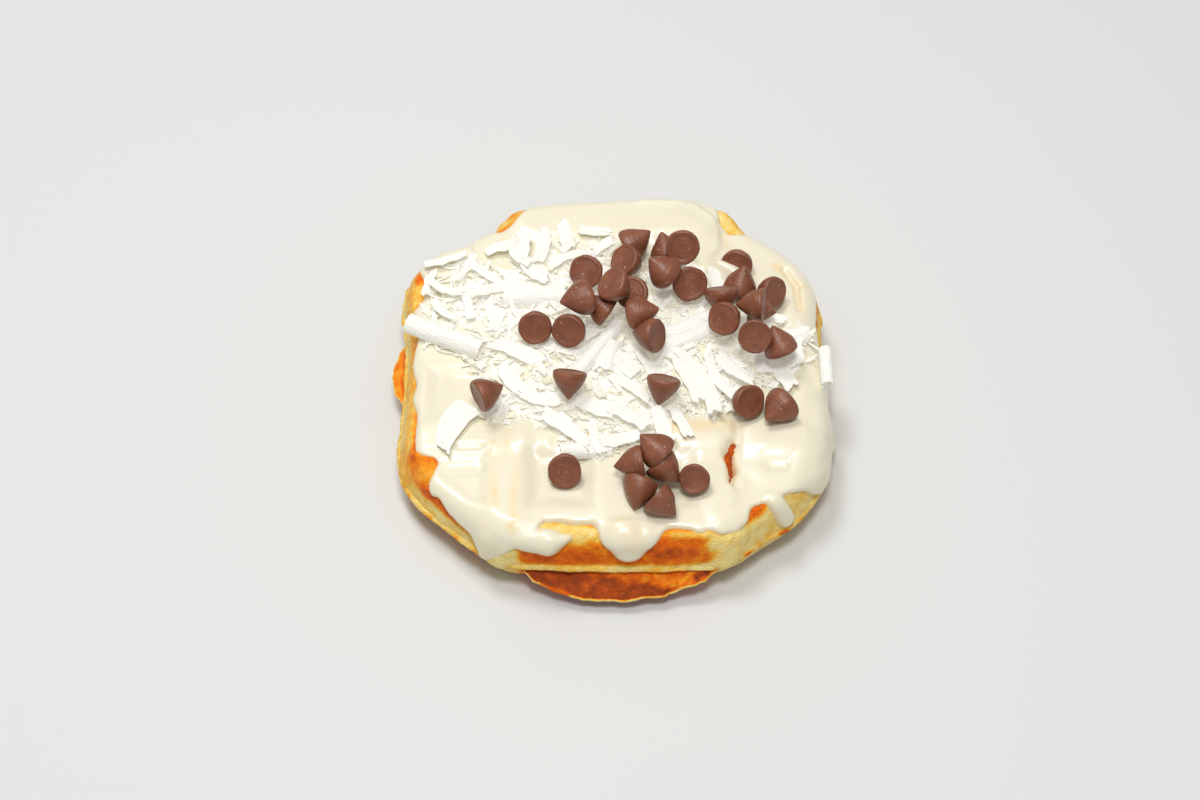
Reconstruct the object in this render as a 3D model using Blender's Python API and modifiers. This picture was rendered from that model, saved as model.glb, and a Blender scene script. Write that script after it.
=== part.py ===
"""A waffle with a sauce, a heap of shavings and loose chips on top.

Units are metres, +Z is up and the waffle lies flat on z = 0.
The eater's side of the waffle is at -Y, and the piece is widest along Y.
"""

import math
import random

import bmesh
import bpy
from mathutils import Matrix, Vector
from mathutils.bvhtree import BVHTree

MM = 0.001
GAP = 0.3            # clearance between neighbouring nodes, mm

# Waffle, mm
WAFFLE_HEIGHT = 21.0
PARTING_HEIGHT = 10.5
POCKET_PITCH = 28.0
POCKET_MOUTH = 10.0   # half side of a pocket at the face
POCKET_FLOOR = 7.0    # half side of a pocket at its floor
POCKET_DEPTH = 8.0
POCKET_X = (-42.0, -14.0, 14.0, 42.0)
POCKET_Y = (-37.0, -9.0, 19.0, 47.0)
RIM_WIDTH = 9.0       # from the flash edge to the pockets beside it
WAFFLE_SPOKES = 72

# Flash edge of the waffle seen from above, mm, anticlockwise from +X
WAFFLE_EDGE = [
    (60.0, 0.0), (59.5, 16.0), (60.4, 28.0), (58.5, 39.0), (54.0, 46.0),
    (48.0, 51.0), (41.5, 55.0), (36.5, 60.0), (28.0, 63.0), (12.0, 64.6),
    (-4.0, 64.0), (-19.0, 62.5), (-27.0, 59.0), (-33.5, 53.0), (-42.0, 48.5),
    (-52.0, 44.0), (-58.5, 37.5), (-60.0, 28.0), (-58.5, 17.0), (-58.0, 4.0),
    (-58.2, -10.0), (-58.5, -23.0), (-55.5, -33.5), (-48.5, -42.0),
    (-38.5, -50.5), (-31.0, -56.0), (-22.0, -58.0), (0.0, -58.6),
    (25.0, -58.0), (33.5, -55.5), (42.5, -49.0), (50.0, -43.5),
    (56.0, -35.5), (59.6, -27.0), (60.4, -14.0),
]

# Section of the waffle side: height and distance in from the flash edge, mm
SIDE_SECTION = [
    (0.0, 4.0), (3.5, 1.8), (9.6, 0.4), (10.5, 0.0),
    (11.4, 0.4), (17.5, 1.8), (21.0, 4.0),
]

# Thin lips of batter pressed out at the front and at the left, mm
FRONT_LIP = [
    (-23.0, -58.4), (-14.0, -61.2), (-3.0, -64.0), (7.0, -64.6),
    (15.0, -63.2), (22.0, -61.6), (27.0, -59.6),
]
LEFT_LIP = [
    (-58.4, 18.0), (-61.0, 14.0), (-62.2, 9.0), (-61.8, 4.0),
    (-60.4, -1.0), (-58.6, -4.0),
]

# Sauce, mm
SAUCE_SPOKES = 96
SAUCE_SKIN = 1.2
SAUCE_LEVEL = 22.2
POLE = (0.0, 2.0)
# Rings of the sauce near its edge: share of the way over the top face,
# share of the way down the side, and share of the skin
SAUCE_STATIONS = [
    (0.0, 0.0, 1.0), (0.4, 0.0, 1.0), (0.75, 0.0, 1.0), (1.0, 0.0, 1.0),
    (1.0, 0.35, 1.0), (1.0, 0.7, 0.95), (1.0, 1.0, 0.6), (1.0, 1.06, -0.9),
]
# How far the sauce runs past the top edge of the waffle, by direction.
# Degrees from +X, then mm: less than zero stops short on the top face.
SAUCE_REACH = [
    (-180, -0.5), (-165, -0.5), (-152, -1.0), (-147, -5.5), (-142, -5.5),
    (-137, -1.0), (-126, -0.5), (-119, 3.0), (-114, 9.0), (-110, 4.0),
    (-107, 7.0), (-100, 6.0), (-96, -3.0), (-92, 6.0), (-85, 9.5),
    (-80, 6.0), (-76, -1.0), (-70, 0.0), (-62, 0.0), (-57, 1.0),
    (-52, -3.0), (-49, -1.0), (-46, 6.0), (-42, 1.0), (-36, 5.0),
    (-28, 10.0), (-10, 12.0), (8, 12.0), (20, 7.0), (34, 3.0), (52, 3.0),
    (58, -3.5), (64, 2.5), (90, 3.5), (110, 2.5), (118, -2.0), (124, 1.0),
    (140, 1.5), (153, 0.5), (160, -3.0), (168, -0.5), (180, -0.5),
]
# Pockets where the sauce sits lower: centre and depth, mm
SAUCE_DENTS = [
    (-14.0, -37.0, 2.4), (-42.0, -37.0, 3.0), (14.0, -37.0, 1.0),
    (42.0, -37.0, 0.8), (42.0, -9.0, 0.8), (-42.0, -9.0, 2.0),
]

# Heap of shavings seen from above, mm, anticlockwise
HEAP_EDGE = [
    (56.0, 6.0), (54.0, 14.5), (43.0, 18.5), (34.0, 27.0), (31.0, 34.0),
    (24.0, 36.0), (13.0, 35.5), (6.0, 42.0), (1.0, 47.5), (-6.0, 51.0),
    (-16.5, 50.0), (-24.0, 45.0), (-36.0, 44.0), (-48.0, 38.5),
    (-54.0, 31.0), (-56.5, 19.0), (-53.0, 9.5), (-42.0, 3.5),
    (-36.0, -4.0), (-41.0, -10.0), (-49.5, -16.0), (-48.0, -26.0),
    (-38.0, -28.5), (-29.0, -22.5), (-21.0, -20.5), (-12.0, -26.5),
    (-3.0, -29.5), (6.0, -26.5),
    (16.0, -24.5), (21.0, -17.0), (28.0, -16.5), (34.0, -12.0),
    (40.0, -7.5), (51.0, -4.5),
]
HEAP_POLE = (0.0, 10.0)
HEAP_FLOOR = 22.6
HEAP_SPOKES = 44

# Rolled shavings: x, y, z of the middle, length, radius, heading, tilt
ROLLS = [
    (-47.0, 9.5, 27.0, 23.0, 2.6, -25, 0), (-21.5, 23.5, 27.0, 17.0, 2.7, 0, 2),
    (21.0, 8.0, 27.0, 18.0, 1.9, 26, 0), (21.5, 13.0, 26.6, 17.0, 1.9, 24, 3),
    (-1.0, 1.0, 27.2, 10.0, 2.4, 75, 8), (-6.0, 0.0, 27.6, 27.0, 1.8, 55, 3),
    (56.0, 8.5, 25.2, 11.0, 2.2, 22, 0), (-7.0, -28.0, 24.6, 14.0, 2.0, 2, 0),
    (-36.0, 30.0, 26.4, 14.0, 1.6, 68, 5), (-44.0, 22.0, 26.0, 15.0, 1.4, 40, 4),
    (26.0, -8.0, 26.4, 15.0, 1.7, -38, 2), (2.0, -18.0, 26.6, 16.0, 1.8, -12, 3),
    (-19.0, 38.0, 26.4, 14.0, 1.6, 20, 4), (24.0, 28.0, 25.4, 11.0, 1.5, -60, 4),
]
# Flat shavings: x, y, z of the middle, length, width, heading, tilt
FLAKES = [
    (-43.5, -22.0, 24.2, 13.0, 12.0, 75, 6), (-30.0, -8.0, 25.2, 14.0, 8.0, 60, 8),
    (-12.0, 14.0, 26.4, 14.0, 7.0, 20, 12), (9.0, 26.0, 26.0, 13.0, 7.0, -30, 9),
    (36.0, -1.0, 25.4, 14.0, 8.0, 35, 8), (45.0, 7.0, 25.2, 12.0, 7.0, 10, 10),
    (12.0, -12.0, 26.0, 15.0, 8.0, 50, 9), (-18.0, -14.0, 25.8, 14.0, 9.0, -40, 8),
    (-28.0, 36.0, 25.8, 13.0, 6.0, -15, 14), (-8.0, 42.0, 25.4, 13.0, 6.0, 35, 10),
]
FLAKE_THICKNESS = 1.0
LOOSE_FLAKES = 26
# Roll that hangs over the right side of the waffle
EDGE_ROLL = (59.4, 0.5, 23.4, 16.0, 1.9, -72, -8)

# Chip, mm: radius and height of its section from the tip to the base
CHIP_SECTION = [
    (0.0, 8.2), (1.2, 7.1), (2.8, 5.2), (4.2, 3.1), (4.8, 1.0),
    (4.4, 0.0), (0.0, 0.0),
]
CHIP_HEIGHT = 8.2
CHIP_TURNS = 10
CHIP_MIDDLE = 3.4     # from the base to the place given below

# Chips: x, y of the middle, heading of the tip, rise of the tip, size.
# The ones further back come first; later ones lean on the earlier ones.
CHIPS = [
    (7.5, 43.0, 20, 28, 1.02), (15.5, 41.0, 100, 48, 0.92),
    (20.5, 41.0, 85, -38, 1.02), (5.5, 35.0, 20, -50, 0.98),
    (14.0, 32.5, 170, 50, 1.02), (22.0, 28.0, 100, -42, 1.04),
    (-6.5, 32.0, 75, -46, 1.00), (-3.0, 19.0, 155, 24, 0.95),
    (-9.5, 21.5, -155, 10, 1.04), (2.0, 25.5, 10, -50, 1.00),
    (6.5, 24.0, 60, -54, 0.98), (9.0, 17.0, -10, 24, 1.00),
    (10.0, 9.0, 155, -22, 1.00), (-21.0, 12.5, 90, -36, 0.98),
    (-11.0, 11.5, 70, -34, 1.00), (36.5, 38.5, 180, 8, 1.00),
    (37.0, 29.0, 70, 58, 1.00), (44.5, 25.0, 140, -32, 0.92),
    (42.0, 18.0, -15, 2, 0.92), (39.0, 19.5, 170, -6, 0.96),
    (31.0, 21.5, -85, -46, 1.00), (32.5, 15.0, 50, -40, 1.00),
    (46.0, 7.0, 125, 50, 1.00), (39.5, 9.0, 85, -40, 0.98),
    (-33.5, -10.5, 30, 0, 0.98), (-11.5, -7.5, -100, -46, 0.96),
    (14.0, -9.5, -105, -50, 0.96), (36.5, -13.0, 125, -36, 0.98),
    (45.5, -16.0, -135, -2, 1.04), (-12.5, -36.0, 90, -38, 0.98),
    (14.5, -36.5, -45, -14, 1.00), (12.5, -31.0, 175, 46, 1.02),
    (5.5, -34.0, -165, 12, 1.02), (22.5, -39.0, 80, -42, 1.00),
    (7.0, -43.5, -110, -14, 1.00), (14.0, -46.5, 85, 54, 1.00),
]
# A chip is lifted from this height, up and to the front, until it is clear.
CHIP_LEVEL = 25.0
LIFT = (0.0, -0.59, 0.81)

COLOURS = {
    "waffle": (0.72, 0.36, 0.10, 1.0),
    "white_sauce": (0.87, 0.79, 0.60, 1.0),
    "white_shavings": (0.93, 0.92, 0.86, 1.0),
    "chip": (0.15, 0.052, 0.028, 1.0),
}
ROUGHNESS = {"waffle": 0.6, "white_sauce": 0.25, "white_shavings": 0.55, "chip": 0.4}


def clear_scene():
    """Remove every object from the file."""
    for item in list(bpy.data.objects):
        bpy.data.objects.remove(item, do_unlink=True)


def make_collection(name):
    """Return a new collection linked to the scene."""
    group = bpy.data.collections.new(name)
    bpy.context.scene.collection.children.link(group)
    return group


def make_material(name):
    """Return a plain Principled material for one sub-part."""
    material = bpy.data.materials.new(name)
    material.use_nodes = True
    shader = material.node_tree.nodes["Principled BSDF"]
    shader.inputs["Base Color"].default_value = COLOURS[name]
    shader.inputs["Roughness"].default_value = ROUGHNESS[name]
    return material


def mesh_from_bmesh(name, bm):
    """Write a bmesh given in millimetres to a mesh in metres."""
    bmesh.ops.scale(bm, vec=(MM, MM, MM), verts=bm.verts)
    bmesh.ops.recalc_face_normals(bm, faces=bm.faces)
    mesh = bpy.data.meshes.new(name)
    bm.to_mesh(mesh)
    bm.free()
    return mesh


def add_part(name, mesh, group, material):
    """Add a finished sub-part."""
    part = bpy.data.objects.new(name, mesh)
    group.objects.link(part)
    mesh.materials.clear()
    mesh.materials.append(material)
    return part


def add_cutter(name, bm, group):
    """Add a helper solid that is only used in a Boolean."""
    cutter = bpy.data.objects.new(name, mesh_from_bmesh(name, bm))
    cutter.hide_render = True
    cutter.display_type = 'WIRE'
    group.objects.link(cutter)
    return cutter


def boolean(target, operation, other=None, group=None, solver='EXACT'):
    """Join or cut the target and keep the result as its mesh."""
    modifier = target.modifiers.new("cut", 'BOOLEAN')
    modifier.operation = operation
    modifier.solver = solver
    if group is not None:
        modifier.operand_type = 'COLLECTION'
        modifier.collection = group
    else:
        modifier.object = other
    bpy.context.view_layer.update()
    graph = bpy.context.evaluated_depsgraph_get()
    mesh = bpy.data.meshes.new_from_object(target.evaluated_get(graph))
    target.modifiers.clear()
    target.data = mesh


def split_shared_chords(bm):
    """Give each side of a thin edge its own chord where both use one."""
    bm.normal_update()
    for edge in [e for e in bm.edges if len(e.link_faces) == 4]:
        first = edge.link_faces[0]
        partner = max(edge.link_faces[1:], key=lambda face: face.normal.dot(first.normal))
        a, b = edge.verts
        middle = bm.verts.new((a.co + b.co) / 2)
        for face in (first, partner):
            corners = list(face.verts)
            bm.faces.remove(face)
            bm.faces.new([middle if v is b else v for v in corners])
            bm.faces.new([middle if v is a else v for v in corners])


def tidy(mesh):
    """Weld the tiny edges a Boolean leaves and split faces into triangles."""
    bm = bmesh.new()
    bm.from_mesh(mesh)
    bmesh.ops.remove_doubles(bm, verts=bm.verts, dist=0.001 * MM)
    bmesh.ops.dissolve_degenerate(bm, dist=0.01 * MM, edges=bm.edges)
    bmesh.ops.triangulate(bm, faces=bm.faces)
    split_shared_chords(bm)
    bm.to_mesh(mesh)
    bm.free()


def closed_curve(points, count):
    """Sample a smooth closed curve through the points at even steps."""
    fine = []
    total = len(points)
    for i in range(total):
        p0, p1 = Vector(points[i - 1]), Vector(points[i])
        p2, p3 = Vector(points[(i + 1) % total]), Vector(points[(i + 2) % total])
        for step in range(12):
            t = step / 12
            fine.append(0.5 * (2 * p1 + (p2 - p0) * t
                               + (2 * p0 - 5 * p1 + 4 * p2 - p3) * t * t
                               + (3 * p1 - p0 - 3 * p2 + p3) * t ** 3))
    lengths = [0.0]
    for i, point in enumerate(fine):
        lengths.append(lengths[-1] + (fine[(i + 1) % len(fine)] - point).length)
    ring = []
    k = 0
    for i in range(count):
        want = lengths[-1] * i / count
        while lengths[k + 1] < want:
            k += 1
        t = (want - lengths[k]) / (lengths[k + 1] - lengths[k])
        ring.append(fine[k].lerp(fine[(k + 1) % len(fine)], t))
    return ring


def inward(ring):
    """Return the unit inward normals of an anticlockwise ring."""
    result = []
    for i in range(len(ring)):
        along = ring[(i + 1) % len(ring)] - ring[i - 1]
        result.append(Vector((-along.y, along.x)).normalized())
    return result


def inset(ring, distance):
    """Move a ring inwards by a distance."""
    return [p + n * distance for p, n in zip(ring, inward(ring))]


def loft(rings):
    """Skin closed rings of equal count and cap the two ends."""
    bm = bmesh.new()
    loops = [[bm.verts.new(point) for point in ring] for ring in rings]
    count = len(rings[0])
    for low, high in zip(loops, loops[1:]):
        for i in range(count):
            j = (i + 1) % count
            bm.faces.new((low[i], low[j], high[j], high[i]))
    bm.faces.new(list(reversed(loops[0])))
    bm.faces.new(loops[-1])
    return bm


def waffle_body(grow):
    """Loft the outer form of the waffle, grown by a clearance."""
    edge = closed_curve(WAFFLE_EDGE, WAFFLE_SPOKES)
    middle = PARTING_HEIGHT
    rings = []
    for height, depth in SIDE_SECTION:
        side = -1 if height < middle else 1
        z = height if height == middle else height + side * grow
        rings.append([(p.x, p.y, z) for p in inset(edge, depth - grow)])
    return loft(rings)


def pocket_cutter(name, side, grow, group):
    """Build the square teeth that press the pockets of one face."""
    face = WAFFLE_HEIGHT if side > 0 else 0.0
    slope = (POCKET_MOUTH - POCKET_FLOOR) / POCKET_DEPTH
    floor = POCKET_DEPTH - grow
    extra = 3.0
    low = POCKET_FLOOR + slope * grow - grow
    high = POCKET_MOUTH + slope * extra - grow
    bm = bmesh.new()
    for x in POCKET_X:
        for y in POCKET_Y:
            z = face + side * (extra - floor) / 2
            place = Matrix.Translation((x, y, z)) @ Matrix.Rotation(math.pi / 4, 4, 'Z')
            first, last = (low, high) if side > 0 else (high, low)
            bmesh.ops.create_cone(
                bm, cap_ends=True, segments=4, matrix=place, depth=floor + extra,
                radius1=first * math.sqrt(2), radius2=last * math.sqrt(2))
    teeth = add_cutter(name, bm, group)
    edge = closed_curve(WAFFLE_EDGE, WAFFLE_SPOKES)
    outer = inset(edge, RIM_WIDTH - slope * extra + grow)
    inner = inset(edge, RIM_WIDTH + slope * POCKET_DEPTH + grow)
    top = [(p.x, p.y, face + side * (extra + 1)) for p in outer]
    bottom = [(p.x, p.y, face - side * (POCKET_DEPTH + 1)) for p in inner]
    rings = [bottom, top] if side > 0 else [top, bottom]
    well = add_cutter(name + "_well", loft(rings), group)
    boolean(teeth, 'INTERSECT', well)
    return teeth


def lip(points, root, droop):
    """Loft a thin lip along a line of edge points towards a root line."""
    rings = []
    last = len(points) - 1
    for i, (x, y) in enumerate(points):
        edge = Vector((x, y))
        back = Vector(root[0]).lerp(Vector(root[1]), i / last)
        full = math.sin(math.pi * (i + 0.35) / (last + 0.7))
        tip_z = PARTING_HEIGHT - droop * full
        half = back.lerp(edge, 0.62)
        rings.append([
            (back.x, back.y, PARTING_HEIGHT + 0.4 + 1.6 * full),
            (half.x, half.y, tip_z + 1.5 + 0.45 * droop * full),
            (edge.x, edge.y, tip_z + 0.5),
            (edge.x, edge.y, tip_z - 0.4),
            (half.x, half.y, tip_z - 1.0 + 0.45 * droop * full),
            (back.x, back.y, PARTING_HEIGHT - 0.4 - 1.6 * full),
        ])
    return loft(rings)


def waffle_solid(name, grow, group):
    """Build the waffle with its pockets and lips, grown by a clearance."""
    body = add_cutter(name, waffle_body(grow), group)
    boolean(body, 'DIFFERENCE', pocket_cutter(name + "_top", 1, grow, group))
    if grow == 0.0:
        boolean(body, 'DIFFERENCE', pocket_cutter(name + "_base", -1, grow, group))
        front = add_cutter(name + "_front", lip(FRONT_LIP, ((-21, -54), (25, -54)), 5.0), group)
        left = add_cutter(name + "_left", lip(LEFT_LIP, ((-54, 16), (-54, -3)), 2.5), group)
        boolean(body, 'UNION', front)
        boolean(body, 'UNION', left)
    return body


def smooth_step(low, high, value):
    """Ease from 0 at low to 1 at high."""
    t = min(1.0, max(0.0, (value - low) / (high - low)))
    return t * t * (3 - 2 * t)


def sauce_top(x, y):
    """Height of the sauce over the top face."""
    z = SAUCE_LEVEL
    for cx, cy, drop in SAUCE_DENTS:
        away = max(abs(x - cx), abs(y - cy))
        z -= drop * (1 - smooth_step(5.0, 11.5, away))
    return z


def reach_at(point):
    """How far the sauce runs past the top edge in the direction of a point."""
    angle = math.degrees(math.atan2(point.y - POLE[1], point.x - POLE[0]))
    for (a0, r0), (a1, r1) in zip(SAUCE_REACH, SAUCE_REACH[1:]):
        if a0 <= angle <= a1:
            return r0 + (r1 - r0) * smooth_step(a0, a1, angle)
    return SAUCE_REACH[0][1]


def side_point(run):
    """Walk over the top edge and down the side: distance in, and height."""
    corners = [(depth, height) for height, depth in reversed(SIDE_SECTION)]
    if run <= 0:
        return Vector((corners[0][0] - run, corners[0][1]))
    for first, second in zip(corners, corners[1:]):
        a, b = Vector(first), Vector(second)
        length = (b - a).length
        if run <= length:
            return a.lerp(b, run / length)
        run -= length
    return Vector(corners[-1])


def side_skin(run, thickness):
    """Point at a height above the surface, at a run along the side."""
    along = side_point(run + 0.9) - side_point(run - 0.9)
    normal = Vector((along.y, -along.x)).normalized()
    return side_point(run) + normal * thickness


def sauce_body():
    """Loft the sauce over the top face and down the side."""
    edge = closed_curve(WAFFLE_EDGE, SAUCE_SPOKES)
    normals = inward(edge)
    pole = Vector(POLE)
    inner = [p + n * 11.5 for p, n in zip(edge, normals)]
    rings = []
    for share in (0.06, 0.22, 0.38, 0.54, 0.68, 0.8, 0.91, 1.0):
        ring = [pole.lerp(p, share) for p in inner]
        rings.append([(p.x, p.y, sauce_top(p.x, p.y)) for p in ring])
    ends = [reach_at(p) for p in edge]
    tops = [min(end, 0.5) for end in ends]
    tails = [max(end - top, 0.6) for end, top in zip(ends, tops)]
    for across, down, skin in SAUCE_STATIONS:
        ring = []
        for p, n, top, tail in zip(edge, normals, tops, tails):
            run = -6.2 + (top + 6.2) * across + tail * down
            spot = side_skin(run, SAUCE_SKIN * skin)
            flat = p + n * spot.x
            z = spot.y
            if spot.x > 5.0 and skin > 0:
                z = min(z, sauce_top(flat.x, flat.y))
            ring.append((flat.x, flat.y, z))
        rings.append(ring)
    rings.append([(p.x, p.y, PARTING_HEIGHT) for p in inset(edge, 7.0)])
    return loft(list(reversed(rings)))


def heap_core(rng):
    """Loft the low mound the shavings are pressed into."""
    edge = closed_curve(HEAP_EDGE, HEAP_SPOKES)
    pole = Vector(HEAP_POLE)
    rings = [[(p.x, p.y, HEAP_FLOOR) for p in inset(edge, 0.8)]]
    for share, rise in ((1.0, 0.6), (0.93, 1.4), (0.8, 2.4), (0.62, 3.0), (0.4, 3.3), (0.2, 3.4)):
        ring = []
        for p in edge:
            spot = pole.lerp(p, share)
            ring.append((spot.x, spot.y, HEAP_FLOOR + rise + rng.uniform(-0.3, 0.5)))
        rings.append(ring)
    return loft(rings)


def turn(x, y, z, heading, tilt):
    """Placement with the local X axis along a heading and raised by a tilt."""
    return (Matrix.Translation((x, y, z))
            @ Matrix.Rotation(math.radians(heading), 4, 'Z')
            @ Matrix.Rotation(math.radians(-tilt), 4, 'Y'))


def add_roll(bm, x, y, z, length, radius, heading, tilt):
    """Add a rolled shaving."""
    place = turn(x, y, z, heading, tilt) @ Matrix.Rotation(math.pi / 2, 4, 'Y')
    bmesh.ops.create_cone(bm, cap_ends=True, segments=8, radius1=radius,
                          radius2=radius * 0.9, depth=length, matrix=place)


def add_flake(bm, x, y, z, length, width, heading, tilt, roll):
    """Add a flat shaving."""
    place = turn(x, y, z, heading, tilt) @ Matrix.Rotation(math.radians(roll), 4, 'X')
    size = Matrix.Diagonal((length, width, FLAKE_THICKNESS, 1))
    bmesh.ops.create_cube(bm, size=1.0, matrix=place @ size)


def heap_pieces(rng, group):
    """Build every shaving as a closed helper solid."""
    index = 0
    for spec in ROLLS + [EDGE_ROLL]:
        bm = bmesh.new()
        add_roll(bm, *spec)
        add_cutter("roll_%02d" % index, bm, group)
        index += 1
    specs = [spec + (rng.uniform(-12, 12),) for spec in FLAKES]
    edge = closed_curve(HEAP_EDGE, HEAP_SPOKES)
    pole = Vector(HEAP_POLE)
    for i in range(LOOSE_FLAKES):
        share = 0.35 + 0.62 * ((i * 0.618) % 1.0)
        spot = pole.lerp(edge[(i * 17) % len(edge)], share)
        z = HEAP_FLOOR + 2.6 - 1.5 * smooth_step(0.7, 1.0, share)
        specs.append((spot.x, spot.y, z, rng.uniform(7, 12), rng.uniform(2.5, 5),
                      rng.uniform(0, 180), rng.uniform(-10, 14), rng.uniform(-25, 25)))
    for spec in specs:
        bm = bmesh.new()
        add_flake(bm, *spec)
        add_cutter("flake_%02d" % index, bm, group)
        index += 1


def trim_floor(target, group):
    """Cut away what reaches below the flat underside of the heap."""
    bm = bmesh.new()
    place = Matrix.Translation((0, 0, HEAP_FLOOR - 10)) @ Matrix.Diagonal((200, 200, 20, 1))
    bmesh.ops.create_cube(bm, size=1.0, matrix=place)
    boolean(target, 'DIFFERENCE', add_cutter("heap_floor", bm, group))


def chip_mesh(name, grow, group):
    """Turn the chip section with a Screw modifier and return the mesh in mm."""
    middle = CHIP_HEIGHT / 2
    points = []
    for radius, height in CHIP_SECTION:
        wide = radius + grow if radius > 0 else 0.0
        points.append((wide, 0.0, middle + (height - middle) * (1 + grow / middle)))
    profile = bpy.data.meshes.new(name)
    links = [(i, i + 1) for i in range(len(points) - 1)]
    profile.from_pydata(points, links, [])
    turned = bpy.data.objects.new(name, profile)
    group.objects.link(turned)
    screw = turned.modifiers.new("turn", 'SCREW')
    screw.axis = 'Z'
    screw.steps = CHIP_TURNS
    screw.render_steps = CHIP_TURNS
    screw.use_merge_vertices = True
    screw.merge_threshold = 0.0001
    bpy.context.view_layer.update()
    graph = bpy.context.evaluated_depsgraph_get()
    mesh = bpy.data.meshes.new_from_object(turned.evaluated_get(graph))
    bpy.data.objects.remove(turned, do_unlink=True)
    return mesh


def chip_place(x, y, z, heading, rise, size):
    """Placement of a chip whose tip points along a heading and a rise."""
    return (turn(x, y, z, heading, rise) @ Matrix.Rotation(math.pi / 2, 4, 'Y')
            @ Matrix.Scale(size, 4) @ Matrix.Translation((0, 0, -CHIP_MIDDLE)))


def placed_bmesh(mesh, place):
    """Copy a mesh given in mm to a place."""
    bm = bmesh.new()
    bm.from_mesh(mesh)
    bmesh.ops.transform(bm, matrix=place, verts=bm.verts)
    return bm


def tree_in_mm(part):
    """Search tree of a finished part, in millimetres."""
    bm = bmesh.new()
    bm.from_mesh(part.data)
    bmesh.ops.scale(bm, vec=(1 / MM, 1 / MM, 1 / MM), verts=bm.verts)
    tree = BVHTree.FromBMesh(bm)
    bm.free()
    return tree


def lifted_place(mesh, spec, trees):
    """Lift a chip until it is just clear of what lies round it."""
    x, y, heading, rise, size = spec
    step = -3.0
    while step < 20.0:
        spot = Vector((x, y, CHIP_LEVEL)) + Vector(LIFT) * step
        place = chip_place(*spot, heading, rise, size)
        bm = placed_bmesh(mesh, place)
        tree = BVHTree.FromBMesh(bm)
        bm.free()
        if not any(tree.overlap(other) for other in trees):
            return place
        step += 0.1
    raise ValueError("no clear place for a chip")


def build():
    """Build every sub-part of the food."""
    clear_scene()
    group = make_collection("waffle_with_toppings")
    helpers = make_collection("helpers")
    shavings = make_collection("shavings")
    rng = random.Random(11)

    waffle = waffle_solid("waffle_form", 0.0, helpers)
    tidy(waffle.data)
    add_part("waffle", waffle.data.copy(), group, make_material("waffle"))

    chip = chip_mesh("chip_section", 0.0, helpers)
    wide_chip = chip_mesh("chip_clearance", GAP + 0.05, helpers)

    sauce = add_cutter("sauce_form", sauce_body(), helpers)
    boolean(sauce, 'DIFFERENCE', waffle_solid("waffle_clearance", GAP, helpers))
    tidy(sauce.data)
    sauce_part = add_part("white_sauce", sauce.data.copy(), group, make_material("white_sauce"))

    heap = add_cutter("heap_form", heap_core(rng), helpers)
    heap_pieces(rng, shavings)
    boolean(heap, 'UNION', group=shavings)
    trim_floor(heap, helpers)
    tidy(heap.data)
    heap_part = add_part("white_shavings", heap.data.copy(), group, make_material("white_shavings"))

    trees = [tree_in_mm(sauce_part), tree_in_mm(heap_part)]
    chip_material = make_material("chip")
    for index, spec in enumerate(CHIPS):
        place = lifted_place(wide_chip, spec, trees)
        bm = placed_bmesh(chip, place)
        name = "chip_%02d" % (index + 1)
        part = add_part(name, mesh_from_bmesh(name, bm), group, chip_material)
        trees.append(tree_in_mm(part))

    for folder in (helpers, shavings):
        for item in list(folder.objects):
            bpy.data.objects.remove(item, do_unlink=True)
        bpy.data.collections.remove(folder)


build()
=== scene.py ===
"""Dress a waffle with white sauce, shavings and chips for the camera.

Sizes are millimetres while a piece is modelled, and metres once it is finished.
+Z is up. The camera looks over the front edge, which is at -Y.
"""

import logging
import math
import random
from dataclasses import dataclass, field
from enum import Enum

import bmesh
import bpy
from mathutils import Matrix, Vector, noise


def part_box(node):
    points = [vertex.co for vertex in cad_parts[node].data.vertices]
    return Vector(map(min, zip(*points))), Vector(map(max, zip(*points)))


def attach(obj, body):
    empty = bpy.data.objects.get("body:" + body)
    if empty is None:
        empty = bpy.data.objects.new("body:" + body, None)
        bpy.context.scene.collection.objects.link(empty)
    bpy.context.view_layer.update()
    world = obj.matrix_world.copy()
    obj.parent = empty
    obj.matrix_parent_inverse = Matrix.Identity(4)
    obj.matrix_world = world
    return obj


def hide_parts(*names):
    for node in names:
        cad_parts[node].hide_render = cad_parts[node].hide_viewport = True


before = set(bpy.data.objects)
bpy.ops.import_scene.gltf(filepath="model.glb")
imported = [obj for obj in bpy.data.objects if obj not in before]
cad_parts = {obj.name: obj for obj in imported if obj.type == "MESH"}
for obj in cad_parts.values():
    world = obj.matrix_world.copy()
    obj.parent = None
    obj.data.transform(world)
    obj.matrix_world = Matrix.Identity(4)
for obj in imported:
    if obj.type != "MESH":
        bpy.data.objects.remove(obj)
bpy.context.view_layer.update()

LOG = logging.getLogger("waffle")
MM = 0.001

Spot = tuple[float, float]
Triple = tuple[float, float, float]
Place = Triple
Colour = Triple
Stops = tuple[tuple[float, Colour], ...]
Ring = list[Vector]
Marks = dict[str, list[list[float]]]


class Face(Enum):
    """The two pressed faces of the waffle."""

    TOP = 1
    BASE = -1


class Carve(Enum):
    """How a Boolean tool works on its target."""

    AWAY = 'DIFFERENCE'
    SHARED = 'INTERSECT'


class Cut(Enum):
    """Kinds of shaving in the heap."""

    ROLL = "roll"
    FLAKE = "flake"
    SHRED = "shred"

    @property
    def piece(self) -> str:
        """Name of the piece that holds this kind."""
        return "white_" + self.value + "s"


# Small tools


def ease(low: float, high: float, value: float) -> float:
    """Ease from 0 at low to 1 at high."""
    t = min(1.0, max(0.0, (value - low) / (high - low)))
    return t * t * (3.0 - 2.0 * t)


def wobble(x: float, y: float, z: float, size: float) -> float:
    """Smooth noise from -1 to 1 with lumps of a size in mm."""
    return noise.noise(Vector((x, y, z)) / size)


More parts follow.
